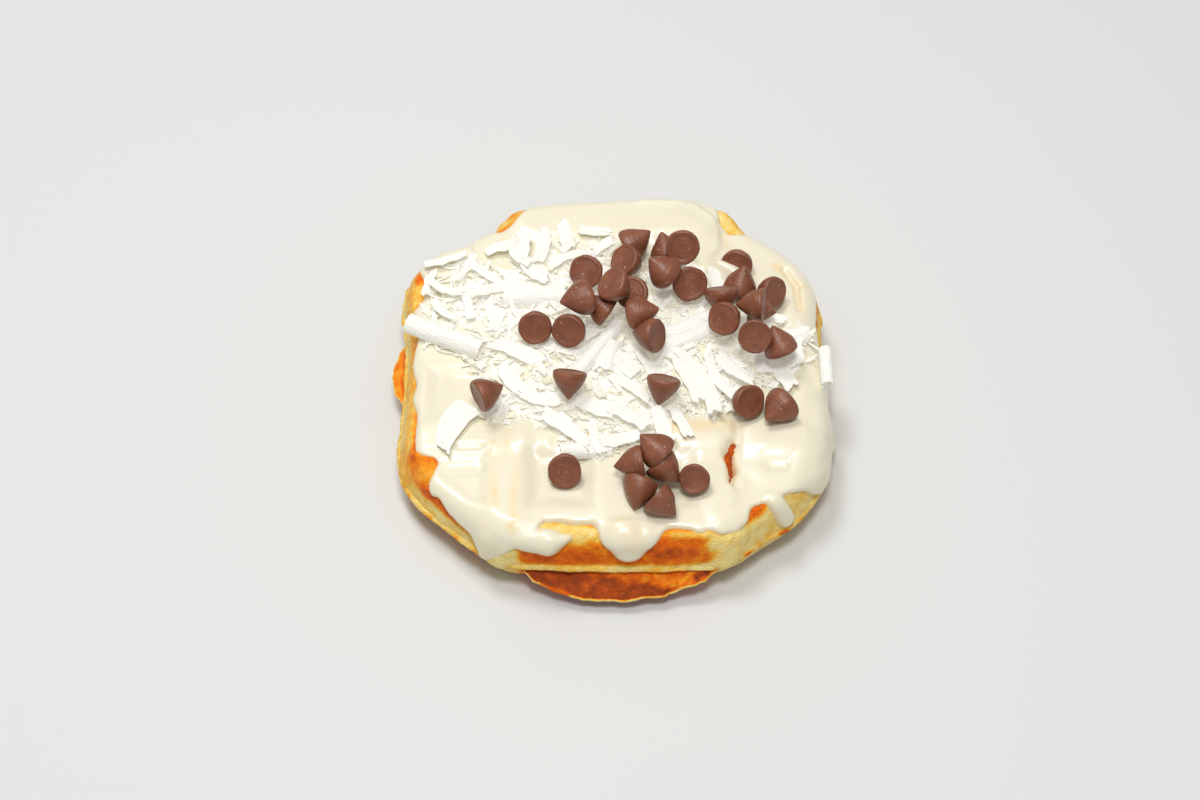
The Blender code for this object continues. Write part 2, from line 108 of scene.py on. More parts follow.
def closed_curve(points: tuple[Spot, ...], count: int) -> Ring:
    """Sample a smooth closed curve at even steps.

    Args:
        points: Corner points seen from above, anticlockwise.
        count: Number of samples.

    Returns:
        The samples in order.
    """
    fine: Ring = []
    total = len(points)
    for i in range(total):
        p0, p1 = Vector(points[i - 1]), Vector(points[i])
        p2, p3 = Vector(points[(i + 1) % total]), Vector(points[(i + 2) % total])
        for step in range(16):
            t = step / 16
            fine.append(0.5 * (2 * p1 + (p2 - p0) * t
                               + (2 * p0 - 5 * p1 + 4 * p2 - p3) * t * t
                               + (3 * p1 - p0 - 3 * p2 + p3) * t ** 3))
    lengths = [0.0]
    for i, point in enumerate(fine):
        lengths.append(lengths[-1] + (fine[(i + 1) % len(fine)] - point).length)
    ring: Ring = []
    k = 0
    for i in range(count):
        want = lengths[-1] * i / count
        while lengths[k + 1] < want:
            k += 1
        t = (want - lengths[k]) / (lengths[k + 1] - lengths[k])
        ring.append(fine[k].lerp(fine[(k + 1) % len(fine)], t))
    return ring


def inward(ring: Ring) -> Ring:
    """Find the unit inward normals of a ring.

    Args:
        ring: Points in order, anticlockwise.

    Returns:
        One normal for each point.
    """
    result: Ring = []
    for i in range(len(ring)):
        along = ring[(i + 1) % len(ring)] - ring[i - 1]
        result.append(Vector((-along.y, along.x)).normalized())
    return result


def along_table(table: tuple[Spot, ...], value: float) -> float:
    """Read a table with an eased step between its rows.

    Args:
        table: Rows of place and amount, in rising order of place.
        value: Place to read at.

    Returns:
        The amount there.
    """
    for (a0, r0), (a1, r1) in zip(table, table[1:]):
        if a0 <= value <= a1:
            return r0 + (r1 - r0) * ease(a0, a1, value)
    return table[0][1]


def soft_table(table: tuple[Spot, ...], value: float, width: float) -> float:
    """Read a round table with straight lines between rows, averaged over a width.

    Args:
        table: Rows of bearing and amount, from -180 to 180 degrees.
        value: Bearing to read at.
        width: Degrees to either side that count.

    Returns:
        The average amount there.
    """
    samples = (-1.0, -0.5, 0.0, 0.5, 1.0)
    total = 0.0
    for step in samples:
        place = (value + step * width + 180.0) % 360.0 - 180.0
        for (a0, r0), (a1, r1) in zip(table, table[1:]):
            if a0 <= place <= a1:
                total += r0 + (r1 - r0) * (place - a0) / (a1 - a0)
                break
    return total / len(samples)


def bearing(x: float, y: float, pole: Spot) -> float:
    """Direction of a point from a pole, in degrees from +X."""
    return math.degrees(math.atan2(y - pole[1], x - pole[0]))


def skin_rings(rings: list[Ring], closed_ends: bool = True,
               marks: Marks | None = None) -> bmesh.types.BMesh:
    """Extrude a circle of vertices from ring to ring.

    Args:
        rings: Rings of 3-D points of equal count.
        closed_ends: Whether both ends get a cap.
        marks: Named numbers for every point of every ring, for the materials.

    Returns:
        The mesh, with its vertices on the rings.
    """
    bm = bmesh.new()
    marks = marks or {}
    layers = {name: bm.verts.layers.float.new(name) for name in marks}
    count = len(rings[0])
    bmesh.ops.create_circle(bm, cap_ends=closed_ends, segments=count, radius=1.0)
    bm.verts.ensure_lookup_table()
    current = list(bm.verts)
    edges = [bm.edges.get((current[i], current[(i + 1) % count])) for i in range(count)]
    for number, ring in enumerate(rings):
        if number:
            made = bmesh.ops.extrude_edge_only(bm, edges=edges)["geom"]
            fresh = {g for g in made if isinstance(g, bmesh.types.BMVert)}
            current = [next(e.other_vert(vert) for e in vert.link_edges
                            if e.other_vert(vert) in fresh) for vert in current]
            edges = [bm.edges.get((current[i], current[(i + 1) % count]))
                     for i in range(count)]
        for i, (vert, point) in enumerate(zip(current, ring)):
            vert.co = point
            for name, layer in layers.items():
                vert[layer] = marks[name][number][i]
    if closed_ends:
        bmesh.ops.edgeloop_fill(bm, edges=edges)
    bmesh.ops.recalc_face_normals(bm, faces=bm.faces)
    return bm


def new_object(name: str, bm: bmesh.types.BMesh) -> bpy.types.Object:
    """Make an object in mm from a bmesh and free the bmesh.

    Args:
        name: Name of the object and its mesh.
        bm: The mesh.

    Returns:
        The object, in the scene.
    """
    mesh = bpy.data.meshes.new(name)
    bm.to_mesh(mesh)
    bm.free()
    thing = bpy.data.objects.new(name, mesh)
    bpy.context.scene.collection.objects.link(thing)
    return thing


def settle_modifiers(thing: bpy.types.Object) -> None:
    """Replace the mesh by what its modifiers make of it.

    Args:
        thing: The object, which loses its modifiers.
    """
    bpy.context.view_layer.update()
    graph = bpy.context.evaluated_depsgraph_get()
    mesh = bpy.data.meshes.new_from_object(thing.evaluated_get(graph))
    thing.modifiers.clear()
    thing.data = mesh


def carve(target: bpy.types.Object, tool: bpy.types.Object, way: Carve) -> None:
    """Apply an exact Boolean and remove its tool.

    Args:
        target: The object that changes.
        tool: The object that cuts it.
        way: What the cut leaves.
    """
    modifier = target.modifiers.new("cut", 'BOOLEAN')
    modifier.operation = way.value
    modifier.solver = 'EXACT'
    modifier.object = tool
    settle_modifiers(target)
    bpy.data.objects.remove(tool, do_unlink=True)


def finish_piece(thing: bpy.types.Object, material: bpy.types.Material,
                 nodes: tuple[str, ...] = ()) -> None:
    """Turn a piece to metres, dress it and put it on the frame.

    Args:
        thing: The piece, in mm, at the origin.
        material: Its finish.
        nodes: The CAD nodes that it stands for.
    """
    thing.data.transform(Matrix.Scale(MM, 4))
    for polygon in thing.data.polygons:
        polygon.use_smooth = True
    thing.data.materials.clear()
    thing.data.materials.append(material)
    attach(thing, "root")
    if nodes:
        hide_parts(*nodes)
    LOG.info("%s: %d faces", thing.name, len(thing.data.polygons))


def add_mask(thing: bpy.types.Object, name: str, values: list[float]) -> None:
    """Store one number a vertex for a material to read."""
    layer = thing.data.attributes.new(name, 'FLOAT', 'POINT')
    layer.data.foreach_set("value", values)


@dataclass(frozen=True)
class Blob:
    """A rounded stroke from one point to another, in mm, with a radius at each end."""

    start: Place
    end: Place
    first: float
    last: float
    strength: float = 1.0

    def depth(self, point: Vector) -> float:
        """Measure how far a point lies inside the stroke.

        Args:
            point: Any point, in mm.

        Returns:
            The depth, which is negative outside.
        """
        start = Vector(self.start)
        along = Vector(self.end) - start
        t = min(1.0, max(0.0, (point - start).dot(along) / max(along.length_squared, 1e-6)))
        radius = self.first + (self.last - self.first) * t
        return radius - (point - (start + along * t)).length


def strokes(*rows: tuple[float, ...]) -> tuple[Blob, ...]:
    """Make flat strokes from rows of x, y, x, y, both radii and strength."""
    return tuple(Blob((x0, y0, 0.0), (x1, y1, 0.0), *rest) for x0, y0, x1, y1, *rest in rows)


def blend_max(first: float, second: float, width: float) -> float:
    """Larger of two numbers with a rounded change-over."""
    t = min(1.0, max(0.0, 0.5 + 0.5 * (first - second) / width))
    return second + (first - second) * t + width * t * (1.0 - t)


# Materials


class NodeDesk:
    """Shorthand for wiring a material or a group."""

    def __init__(self, tree: bpy.types.NodeTree) -> None:
        """Keep the tree."""
        self.tree = tree

    def add(self, kind: str, **settings: object) -> bpy.types.Node:
        """Add a node and set its properties.

        Args:
            kind: Blender's name of the node type.
            settings: Properties and their values.

        Returns:
            The node.
        """
        node = self.tree.nodes.new(kind)
        for key, value in settings.items():
            setattr(node, key, value)
        return node

    def link(self, source: bpy.types.NodeSocket, target: bpy.types.NodeSocket) -> None:
        """Join two sockets."""
        self.tree.links.new(source, target)

    def math(self, operation: str, first: object, second: object = 0.0,
             clamp: bool = False) -> bpy.types.NodeSocket:
        """Add a Math node.

        Args:
            operation: What it works out.
            first: Socket or number.
            second: Socket or number.
            clamp: Whether the result is held between 0 and 1.

        Returns:
            The result's socket.
        """
        node = self.add('ShaderNodeMath', operation=operation, use_clamp=clamp)
        for socket, value in zip(node.inputs, (first, second)):
            if isinstance(value, (int, float)):
                socket.default_value = value
            else:
                self.link(value, socket)
        return node.outputs[0]

    def noise(self, vector: bpy.types.NodeSocket, scale: float, detail: float = 3.0,
              rough: float = 0.55) -> bpy.types.NodeSocket:
        """Add a noise texture.

        Args:
            vector: Where it is read.
            scale: Lumps per metre.
            detail: Number of finer layers.
            rough: Weight of the finer layers.

        Returns:
            The socket of its value.
        """
        node = self.add('ShaderNodeTexNoise')
        self.link(vector, node.inputs["Vector"])
        node.inputs["Scale"].default_value = scale
        node.inputs["Detail"].default_value = detail
        node.inputs["Roughness"].default_value = rough
        return node.outputs["Fac"]

    def ramp(self, value: bpy.types.NodeSocket, stops: Stops) -> bpy.types.NodeSocket:
        """Add a colour ramp.

        Args:
            value: What runs along it.
            stops: Places from 0 to 1 and their linear colours.

        Returns:
            The colour's socket.
        """
        node = self.add('ShaderNodeValToRGB')
        self.link(value, node.inputs[0])
        elements = node.color_ramp.elements
        while len(elements) < len(stops):
            elements.new(0.5)
        for element, (place, colour) in zip(elements, stops):
            element.position = place
            element.color = (*colour, 1.0)
        return node.outputs[0]

    def mix(self, factor: object, first: object, second: object,
            blend: str = 'MIX') -> bpy.types.NodeSocket:
        """Mix two colours.

        Args:
            factor: Socket or number, 0 for the first colour only.
            first: Socket or colour.
            second: Socket or colour.
            blend: Blend mode.

        Returns:
            The mixed colour's socket.
        """
        node = self.add('ShaderNodeMix', data_type='RGBA', blend_type=blend)
        for socket, value in zip((node.inputs[0], node.inputs[6], node.inputs[7]),
                                 (factor, first, second)):
            if isinstance(value, (int, float)):
                socket.default_value = value
            elif isinstance(value, tuple):
                socket.default_value = (*value, 1.0)
            else:
                self.link(value, socket)
        return node.outputs[2]

    def attribute(self, name: str) -> bpy.types.NodeSocket:
        """Read a number stored on the vertices."""
        return self.add('ShaderNodeAttribute', attribute_name=name).outputs["Fac"]

    def emboss(self, shader: bpy.types.Node, height: bpy.types.NodeSocket,
               distance: float) -> None:
        """Lay a further bump over the one that a shader has.

        Args:
            shader: A shader whose Normal is linked.
            height: The pattern.
            distance: Its depth in metres.
        """
        bump = self.add('ShaderNodeBump')
        bump.inputs["Distance"].default_value = distance
        self.link(height, bump.inputs["Height"])
        self.link(shader.inputs["Normal"].links[0].from_socket, bump.inputs["Normal"])
        self.link(bump.outputs["Normal"], shader.inputs["Normal"])


def let_light_in(shader: bpy.types.Node, weight: float, radius: Colour, scale: float) -> None:
    """Let light under the surface.

    Args:
        shader: A Principled BSDF.
        weight: Share of the light that enters.
        radius: Reach of red, green and blue in metres.
        scale: Factor on that reach.
    """
    shader.inputs["Subsurface Weight"].default_value = weight
    shader.inputs["Subsurface Radius"].default_value = radius
    shader.inputs["Subsurface Scale"].default_value = scale


def pore_group() -> bpy.types.ShaderNodeTree:
    """Build the shared group of fine lumps and pores.

    Returns:
        A group with Vector, Grain and Lump inputs and Height and Mottle outputs.
    """
    group = bpy.data.node_groups.new("pores", 'ShaderNodeTree')
    for name, way, kind in (("Vector", 'INPUT', 'NodeSocketVector'),
                            ("Grain", 'INPUT', 'NodeSocketFloat'),
                            ("Lump", 'INPUT', 'NodeSocketFloat'),
                            ("Height", 'OUTPUT', 'NodeSocketFloat'),
                            ("Mottle", 'OUTPUT', 'NodeSocketFloat')):
        group.interface.new_socket(name, in_out=way, socket_type=kind)
    desk = NodeDesk(group)
    start = desk.add('NodeGroupInput')
    end = desk.add('NodeGroupOutput')
    fine = desk.add('ShaderNodeTexNoise')
    coarse = desk.add('ShaderNodeTexNoise')
    fine.inputs["Detail"].default_value = 4.0
    coarse.inputs["Detail"].default_value = 2.0
    desk.link(start.outputs["Vector"], fine.inputs["Vector"])
    desk.link(start.outputs["Grain"], fine.inputs["Scale"])
    desk.link(start.outputs["Vector"], coarse.inputs["Vector"])
    desk.link(start.outputs["Lump"], coarse.inputs["Scale"])
    half = desk.math('MULTIPLY', fine.outputs["Fac"], 0.5)
    rest = desk.math('MULTIPLY', coarse.outputs["Fac"], 0.5)
    desk.link(desk.math('ADD', half, rest), end.inputs["Height"])
    desk.link(coarse.outputs["Fac"], end.inputs["Mottle"])
    return group


Started = tuple[bpy.types.Material, NodeDesk, bpy.types.Node,
                bpy.types.NodeSocket, bpy.types.NodeSocket]


@dataclass(frozen=True)
class Finish:
    """What the four finishes share."""

    name: str
    roughness: float
    grain: float
    lump: float
    bump: float

    def start(self, pores: bpy.types.ShaderNodeTree) -> Started:
        """Make the material with its pores and bump.

        Args:
            pores: The shared group.

        Returns:
            Material, desk, shader, object coordinates, mottle value.
        """
        material = bpy.data.materials.new(self.name)
        material.use_nodes = True
        desk = NodeDesk(material.node_tree)
        shader = material.node_tree.nodes["Principled BSDF"]
        shader.inputs["Roughness"].default_value = self.roughness
        place = desk.add('ShaderNodeTexCoord').outputs["Object"]
        group = desk.add('ShaderNodeGroup', node_tree=pores)
        desk.link(place, group.inputs["Vector"])
        group.inputs["Grain"].default_value = self.grain
        group.inputs["Lump"].default_value = self.lump
        bump = desk.add('ShaderNodeBump')
        bump.inputs["Strength"].default_value = 1.0
        bump.inputs["Distance"].default_value = self.bump
        desk.link(group.outputs["Height"], bump.inputs["Height"])
        desk.link(bump.outputs["Normal"], shader.inputs["Normal"])
        return material, desk, shader, place, group.outputs["Mottle"]


@dataclass(frozen=True)
class CrustFinish(Finish):
    """Baked batter, from pale sides to dark pressed ridges, with a little painted shade."""

    name: str = "baked_crust"
    roughness: float = 0.38
    grain: float = 1500.0
    lump: float = 480.0
    bump: float = 0.0011
    tones: Stops = (
        (0.0, (0.86, 0.70, 0.28)), (0.2, (0.86, 0.52, 0.085)), (0.4, (0.86, 0.30, 0.012)),
        (0.6, (0.76, 0.130, 0.002)), (0.8, (0.42, 0.066, 0.006)), (1.0, (0.20, 0.032, 0.006)))
    speckle: float = 0.45
    patch: float = 0.26
    patch_scale: float = 150.0
    shine: float = 0.13

    def build(self, pores: bpy.types.ShaderNodeTree) -> bpy.types.Material:
        """Wire the crust with its mask of browning and painted shade.

        Args:
            pores: The shared group.

        Returns:
            The material.
        """
        material, desk, shader, place, mottle = self.start(pores)
        bake_and_shade = desk.attribute("bake_and_shade")
        spread = desk.math('MULTIPLY', desk.math('SUBTRACT', mottle, 0.5), self.speckle)
        patches = desk.noise(place, self.patch_scale)
        broad = desk.math('MULTIPLY', desk.math('SUBTRACT', patches, 0.5), self.patch)
        amount = desk.math('ADD', desk.math('ADD', bake_and_shade, spread), broad, clamp=True)
        desk.link(desk.ramp(amount, self.tones), shader.inputs["Base Color"])
        shader.inputs["Specular IOR Level"].default_value = self.shine
        let_light_in(shader, 0.1, (0.003, 0.0015, 0.0006), 0.6)
        return material


@dataclass(frozen=True)
class SauceFinish(Finish):
    """Ivory sauce, thin and tan over the ridges."""

    name: str = "ivory_sauce"
    roughness: float = 0.36
    grain: float = 260.0
    lump: float = 70.0
    bump: float = 0.00004
    top: Colour = (0.77, 0.72, 0.555)
    low: Colour = (0.77, 0.705, 0.49)
    thinned: Colour = (0.78, 0.585, 0.30)
    veil_scale: float = 160.0
    coat: float = 0.5
    coat_roughness: float = 0.11

    def build(self, pores: bpy.types.ShaderNodeTree) -> bpy.types.Material:
        """Wire the sauce with its masks of thinness and depth.

        Args:
            pores: The shared group.

        Returns:
            The material.
        """
        material, desk, shader, place, _ = self.start(pores)
        veil = desk.math('MULTIPLY', desk.noise(place, self.veil_scale), 1.5)
        amount = desk.math('MULTIPLY', desk.attribute("thin"), veil, clamp=True)
        base = desk.mix(desk.attribute("deep"), self.top, self.low)
        desk.link(desk.mix(amount, base, self.thinned), shader.inputs["Base Color"])
        let_light_in(shader, 0.35, (0.004, 0.003, 0.0018), 0.5)
        shader.inputs["Coat Weight"].default_value = self.coat
        shader.inputs["Coat Roughness"].default_value = self.coat_roughness
        return material


@dataclass(frozen=True)
class ShavingFinish(Finish):
    """Dull white shavings with faint blade lines and a painted glow that lifts their shade."""

    name: str = "white_shavings"
    roughness: float = 0.5
    grain: float = 2400.0
    lump: float = 500.0
    bump: float = 0.00012
    tones: Stops = (
        (0.0, (0.795, 0.785, 0.73)), (0.5, (0.79, 0.77, 0.685)),
        (0.8, (0.78, 0.745, 0.61)), (1.0, (0.76, 0.70, 0.50)))
    line_scale: float = 2.6
    line_stretch: float = 0.07
    blade: float = 0.0005
    painted_glow: float = 0.17

    def build(self, pores: bpy.types.ShaderNodeTree) -> bpy.types.Material:
        """Wire the shavings with a tone for each one, lines along it and a painted glow.

        Args:
            pores: The shared group.

        Returns:
            The material.
        """
        material, desk, shader, _, _ = self.start(pores)
        colour = desk.ramp(desk.attribute("tone"), self.tones)
        grain = desk.add('ShaderNodeCombineXYZ')
        along = desk.math('MULTIPLY', desk.attribute("along"), self.line_stretch)
        desk.link(desk.attribute("across"), grain.inputs[0])
        desk.link(along, grain.inputs[1])
        lines = desk.noise(grain.outputs[0], self.line_scale)
        streak = desk.math('ADD', desk.math('MULTIPLY', lines, 0.34), 0.8, clamp=True)
        desk.link(desk.mix(1.0, colour, streak, 'MULTIPLY'), shader.inputs["Base Color"])
        desk.emboss(shader, lines, self.blade)
        let_light_in(shader, 0.3, (0.003, 0.0026, 0.002), 0.3)
        # Painted light: a warm glow lifts the shade between the shavings, which are no lamp.
        shader.inputs["Emission Color"].default_value = (1.0, 0.96, 0.86, 1.0)
        shader.inputs["Emission Strength"].default_value = self.painted_glow
        return material


@dataclass(frozen=True)
class ChipFinish(Finish):
    """Satin brown chips with a slight bloom."""

    name: str = "brown_chip"
    roughness: float = 0.4
    grain: float = 1500.0
    lump: float = 420.0
    bump: float = 0.00012
    tones: Stops = ((0.3, (0.172, 0.052, 0.023)), (0.7, (0.248, 0.084, 0.039)))
    cloud_scale: float = 210.0
    speck_scale: float = 900.0
    speck_from: float = 0.68
    speck: Colour = (0.52, 0.38, 0.30)
    ring_scale: Spot = (2.6, 1.2)
    ring_depth: float = 0.00022

    def build(self, pores: bpy.types.ShaderNodeTree) -> bpy.types.Material:
        """Wire the chips with bloom, pressed rings and tiny specks.

        Args:
            pores: The shared group.

        Returns:
            The material.
        """
        material, desk, shader, place, mottle = self.start(pores)
        base = desk.ramp(desk.noise(place, self.cloud_scale, 4.0), self.tones)
        specks = desk.math('SUBTRACT', desk.noise(place, self.speck_scale, 2.0), self.speck_from)
        sharp = desk.math('MULTIPLY', specks, 12.0, clamp=True)
        turned = desk.add('ShaderNodeCombineXYZ')
        for socket, name, scale in zip(turned.inputs, ("radius", "rise"), self.ring_scale):
            desk.link(desk.math('MULTIPLY', desk.attribute(name), scale), socket)
        circles = desk.noise(turned.outputs[0], 1.0)
        shade = desk.math('ADD', desk.math('MULTIPLY', circles, 0.35), 0.82)
        tone = desk.mix(1.0, base, shade, 'MULTIPLY')
        desk.link(desk.mix(sharp, tone, self.speck), shader.inputs["Base Color"])
        rough = desk.math('ADD', desk.math('MULTIPLY', mottle, 0.3), 0.24)
        desk.link(rough, shader.inputs["Roughness"])
        desk.emboss(shader, circles, self.ring_depth)
        return material


# Waffle


@dataclass
class Waffle:
    """The pressed waffle with its pockets and its parting edge.

    Rows of edge are x and y, and rows of section are height and depth inwards. Rows of
    side_bake and pale_span are bearing and amount, and rows of lumps are height and size.
    """

    height: float = 21.0
    parting: float = 10.5
    pocket_mouth: float = 10.0
    pocket_floor: float = 7.0
    pocket_depth: float = 8.0
    overcut: float = 3.0
    rim: float = 9.0
    pole: Spot = (0.0, 3.0)
    hub: Spot = (0.0, 2.0)
    pocket_x: tuple[float, ...] = (-42.0, -14.0, 14.0, 42.0)
    pocket_y: tuple[float, ...] = (-37.0, -9.0, 19.0, 47.0)
    spokes: int = 150
    fin_spokes: int = 560
    voxel: float = 0.82
    smoothing: int = 4
    lumps: tuple[Spot, ...] = ((0.32, 6.0), (0.2, 2.1))
    edge: tuple[Spot, ...] = (
        (60.0, 0.0), (59.5, 16.0), (60.4, 27.0), (57.6, 36.5), (52.6, 43.0),
        (46.8, 48.0), (41.0, 53.0), (36.0, 60.5), (28.5, 64.6), (13.0, 66.2),
        (-4.0, 64.8), (-19.0, 63.4), (-28.0, 61.2), (-34.0, 55.4), (-42.0, 49.0),
        (-52.0, 44.0), (-58.5, 37.5), (-60.0, 28.0), (-58.5, 17.0), (-58.0, 4.0),
        (-58.2, -10.0), (-58.5, -23.0), (-55.5, -33.5), (-48.5, -42.0),
        (-38.5, -50.5), (-31.0, -56.0), (-22.0, -58.0), (0.0, -58.6),
        (25.0, -58.0), (33.5, -55.5), (42.5, -49.0), (50.0, -43.5),
        (56.0, -35.5), (59.6, -27.0), (60.4, -14.0),
    )
    section: tuple[Spot, ...] = (
        (0.0, 4.6), (0.5, 3.9), (3.5, 1.8), (9.4, 0.4), (10.5, 0.0),
        (11.6, 0.4), (17.5, 1.8), (20.5, 3.9), (21.0, 4.6),
    )
    side_bake: tuple[Spot, ...] = (
        (-180, 0.30), (-154, 0.28), (-149, 0.54), (-123, 0.58), (-120, 0.05),
        (-114, 0.05), (-112, 0.57), (-67, 0.57), (-63, 0.04), (-38, 0.06),
        (-25, 0.2), (30, 0.36), (60, 0.28), (120, 0.26), (150, 0.3), (180, 0.3),
    )
    pale_span: tuple[Spot, ...] = (
        (-180, 0.3), (-152, 0.3), (-148, 0.5), (-124, 0.5), (-114, 0.3), (-112, 0.05),
        (-67, 0.05), (-63, 0.3), (180, 0.3),
    )
    browning_and_shade: tuple[Blob, ...] = (
        Blob((-51.0, -33.5, 20.0), (-47.5, -39.0, 20.0), 6.5, 5.5, 0.42),
        # Painted shade: this thin dark line lies under the sauce's edge at the top of the notch.
        Blob((-54.5, -29.0, 20.0), (-47.0, -30.5, 21.0), 1.4, 1.4, 0.74),
        Blob((-50.0, -37.5, 17.0), (-44.5, -43.4, 16.4), 2.6, 2.4, 0.66),
        Blob((-44.5, -43.4, 16.4), (-36.5, -50.4, 14.6), 2.2, 2.0, 0.66),
        Blob((-56.0, -8.0, 20.0), (-56.0, -24.0, 19.0), 3.4, 3.4, 0.24),
        Blob((-57.5, -25.0, 14.0), (-56.0, -30.0, 14.0), 4.5, 4.5, 0.3),
        Blob((-55.0, 26.0, 19.0), (-56.0, 18.0, 19.0), 6.0, 4.0, 0.26),
        Blob((-52.5, 22.0, 21.0), (-53.0, 19.0, 21.0), 3.0, 2.0, 0.52),
        Blob((-30.5, -57.0, 12.0), (-29.5, -57.0, 15.0), 5.5, 4.5, 0.03),
        Blob((31.5, -56.0, 10.0), (33.5, -54.0, 19.0), 4.0, 4.0, 0.03),
        Blob((13.0, -54.4, 21.5), (26.0, -54.4, 21.2), 1.0, 2.0, 0.08),
        Blob((13.5, -57.0, 16.5), (20.5, -57.2, 15.5), 2.8, 2.6, 0.68),
        Blob((14.5, -57.0, 16.4), (18.0, -57.0, 16.8), 1.0, 1.2, 0.84),
        Blob((-20.0, -57.4, 15.0), (-16.0, -57.4, 14.6), 1.0, 1.0, 0.72),
        Blob((27.0, -56.5, 18.0), (31.0, -55.5, 20.0), 2.4, 3.4, 0.05),
        Blob((-22.0, -52.4, 21.0), (-5.5, -54.4, 20.0), 3.6, 3.4, 0.1),
        Blob((-5.0, -55.4, 18.0), (-4.4, -56.0, 16.0), 2.2, 2.0, 0.5),
        Blob((-22.0, -57.4, 13.5), (-4.0, -57.6, 14.0), 2.2, 2.6, 0.6),
        Blob((37.0, -48.0, 21.0), (40.0, -46.0, 21.0), 2.8, 2.6, 0.6),
        Blob((33.5, -25.0, 20.0), (32.8, -37.0, 20.0), 4.0, 4.0, 0.8),
        Blob((34.0, 57.0, 20.0), (43.0, 51.0, 20.0), 6.5, 5.5, 0.1),
        Blob((36.5, 55.5, 20.0), (40.0, 51.0, 20.0), 1.6, 1.2, 0.42),
        Blob((-25.0, 60.0, 18.0), (-33.0, 53.0, 18.0), 4.0, 4.0, 0.2),
        Blob((-27.0, 60.0, 19.0), (-29.0, 58.0, 19.0), 1.2, 1.2, 0.5),
        Blob((59.0, 31.0, 18.0), (59.0, 19.0, 18.0), 4.0, 4.0, 0.42),
        Blob((46.0, -46.0, 18.0), (55.0, -39.0, 18.0), 5.0, 4.5, 0.1),
    )
    bumps: tuple[Blob, ...] = (
        Blob((-31.0, -56.5, 10.0), (-29.5, -57.0, 15.0), 4.6, 4.0, 1.3),
        Blob((31.0, -56.5, 10.0), (33.0, -54.0, 18.0), 4.6, 4.4, 1.2),
        Blob((16.0, -54.0, 21.0), (27.0, -54.0, 20.0), 2.4, 3.0, 0.5),
        Blob((-58.0, -26.5, 11.0), (-57.0, -29.0, 11.0), 4.4, 4.4, 0.9),
        Blob((-54.0, -28.0, 21.0), (-46.5, -30.0, 21.0), 2.4, 2.4, 0.9),
        Blob((-56.0, 24.0, 20.0), (-57.0, 15.0, 19.0), 3.0, 3.0, 0.8),
        Blob((34.0, 58.0, 20.0), (43.0, 52.0, 20.0), 4.0, 4.0, 0.9),
        Blob((-25.0, 61.0, 17.0), (-31.5, 56.0, 17.0), 3.4, 3.4, 1.5),
        Blob((59.0, 31.0, 17.0), (59.0, 20.0, 17.0), 4.0, 4.0, 0.8),
    )

    def ring(self, count: int) -> Ring:
        """Sample the parting edge seen from above."""
        return closed_curve(self.edge, count)

    def body(self) -> bpy.types.Object:
        """Extrude the outer form up through its side section.

        Returns:
            The body, before its pockets.
        """
        edge = self.ring(self.spokes)
        normals = inward(edge)
        rings = []
        for z, depth in self.section:
            rings.append([Vector((*(p + n * depth), z)) for p, n in zip(edge, normals)])
        return new_object("baked_waffle", skin_rings(rings))

    def teeth(self, face: Face) -> bpy.types.Object:
        """Build the teeth that press the pockets of one face.

        Args:
            face: The pressed face.

        Returns:
            The teeth, cut off where the rim begins.
        """
        side = face.value
        level = self.height if face is Face.TOP else 0.0
        slope = (self.pocket_mouth - self.pocket_floor) / self.pocket_depth
        extra = self.overcut
        low, high = self.pocket_floor, self.pocket_mouth + slope * extra
        first, last = (low, high) if face is Face.TOP else (high, low)
        bm = bmesh.new()
        for x in self.pocket_x:
            for y in self.pocket_y:
                z = level + side * (extra - self.pocket_depth) / 2
                place = Matrix.Translation((x, y, z)) @ Matrix.Rotation(math.pi / 4, 4, 'Z')
                bmesh.ops.create_cone(
                    bm, cap_ends=True, segments=4, matrix=place,
                    depth=self.pocket_depth + extra,
                    radius1=first * math.sqrt(2), radius2=last * math.sqrt(2))
        bmesh.ops.triangulate(bm, faces=bm.faces)
        tool = new_object("teeth", bm)
        edge = self.ring(self.spokes)
        pole = Vector(self.pole)
        floor = (level - side * (self.pocket_depth + 1), self.rim + slope * self.pocket_depth)
        mouth = (level + side * (extra + 1), self.rim - slope * extra)
        rings = []
        for z, depth in (floor, mouth):
            rings.append([Vector((*(p + (pole - p).normalized() * depth), z)) for p in edge])
        well = skin_rings(rings)
        bmesh.ops.triangulate(well, faces=well.faces)
        carve(tool, new_object("well", well), Carve.SHARED)
        bm = bmesh.new()
        bm.from_mesh(tool.data)
        bmesh.ops.triangulate(bm, faces=bm.faces)
        bm.to_mesh(tool.data)
        bm.free()
        return tool

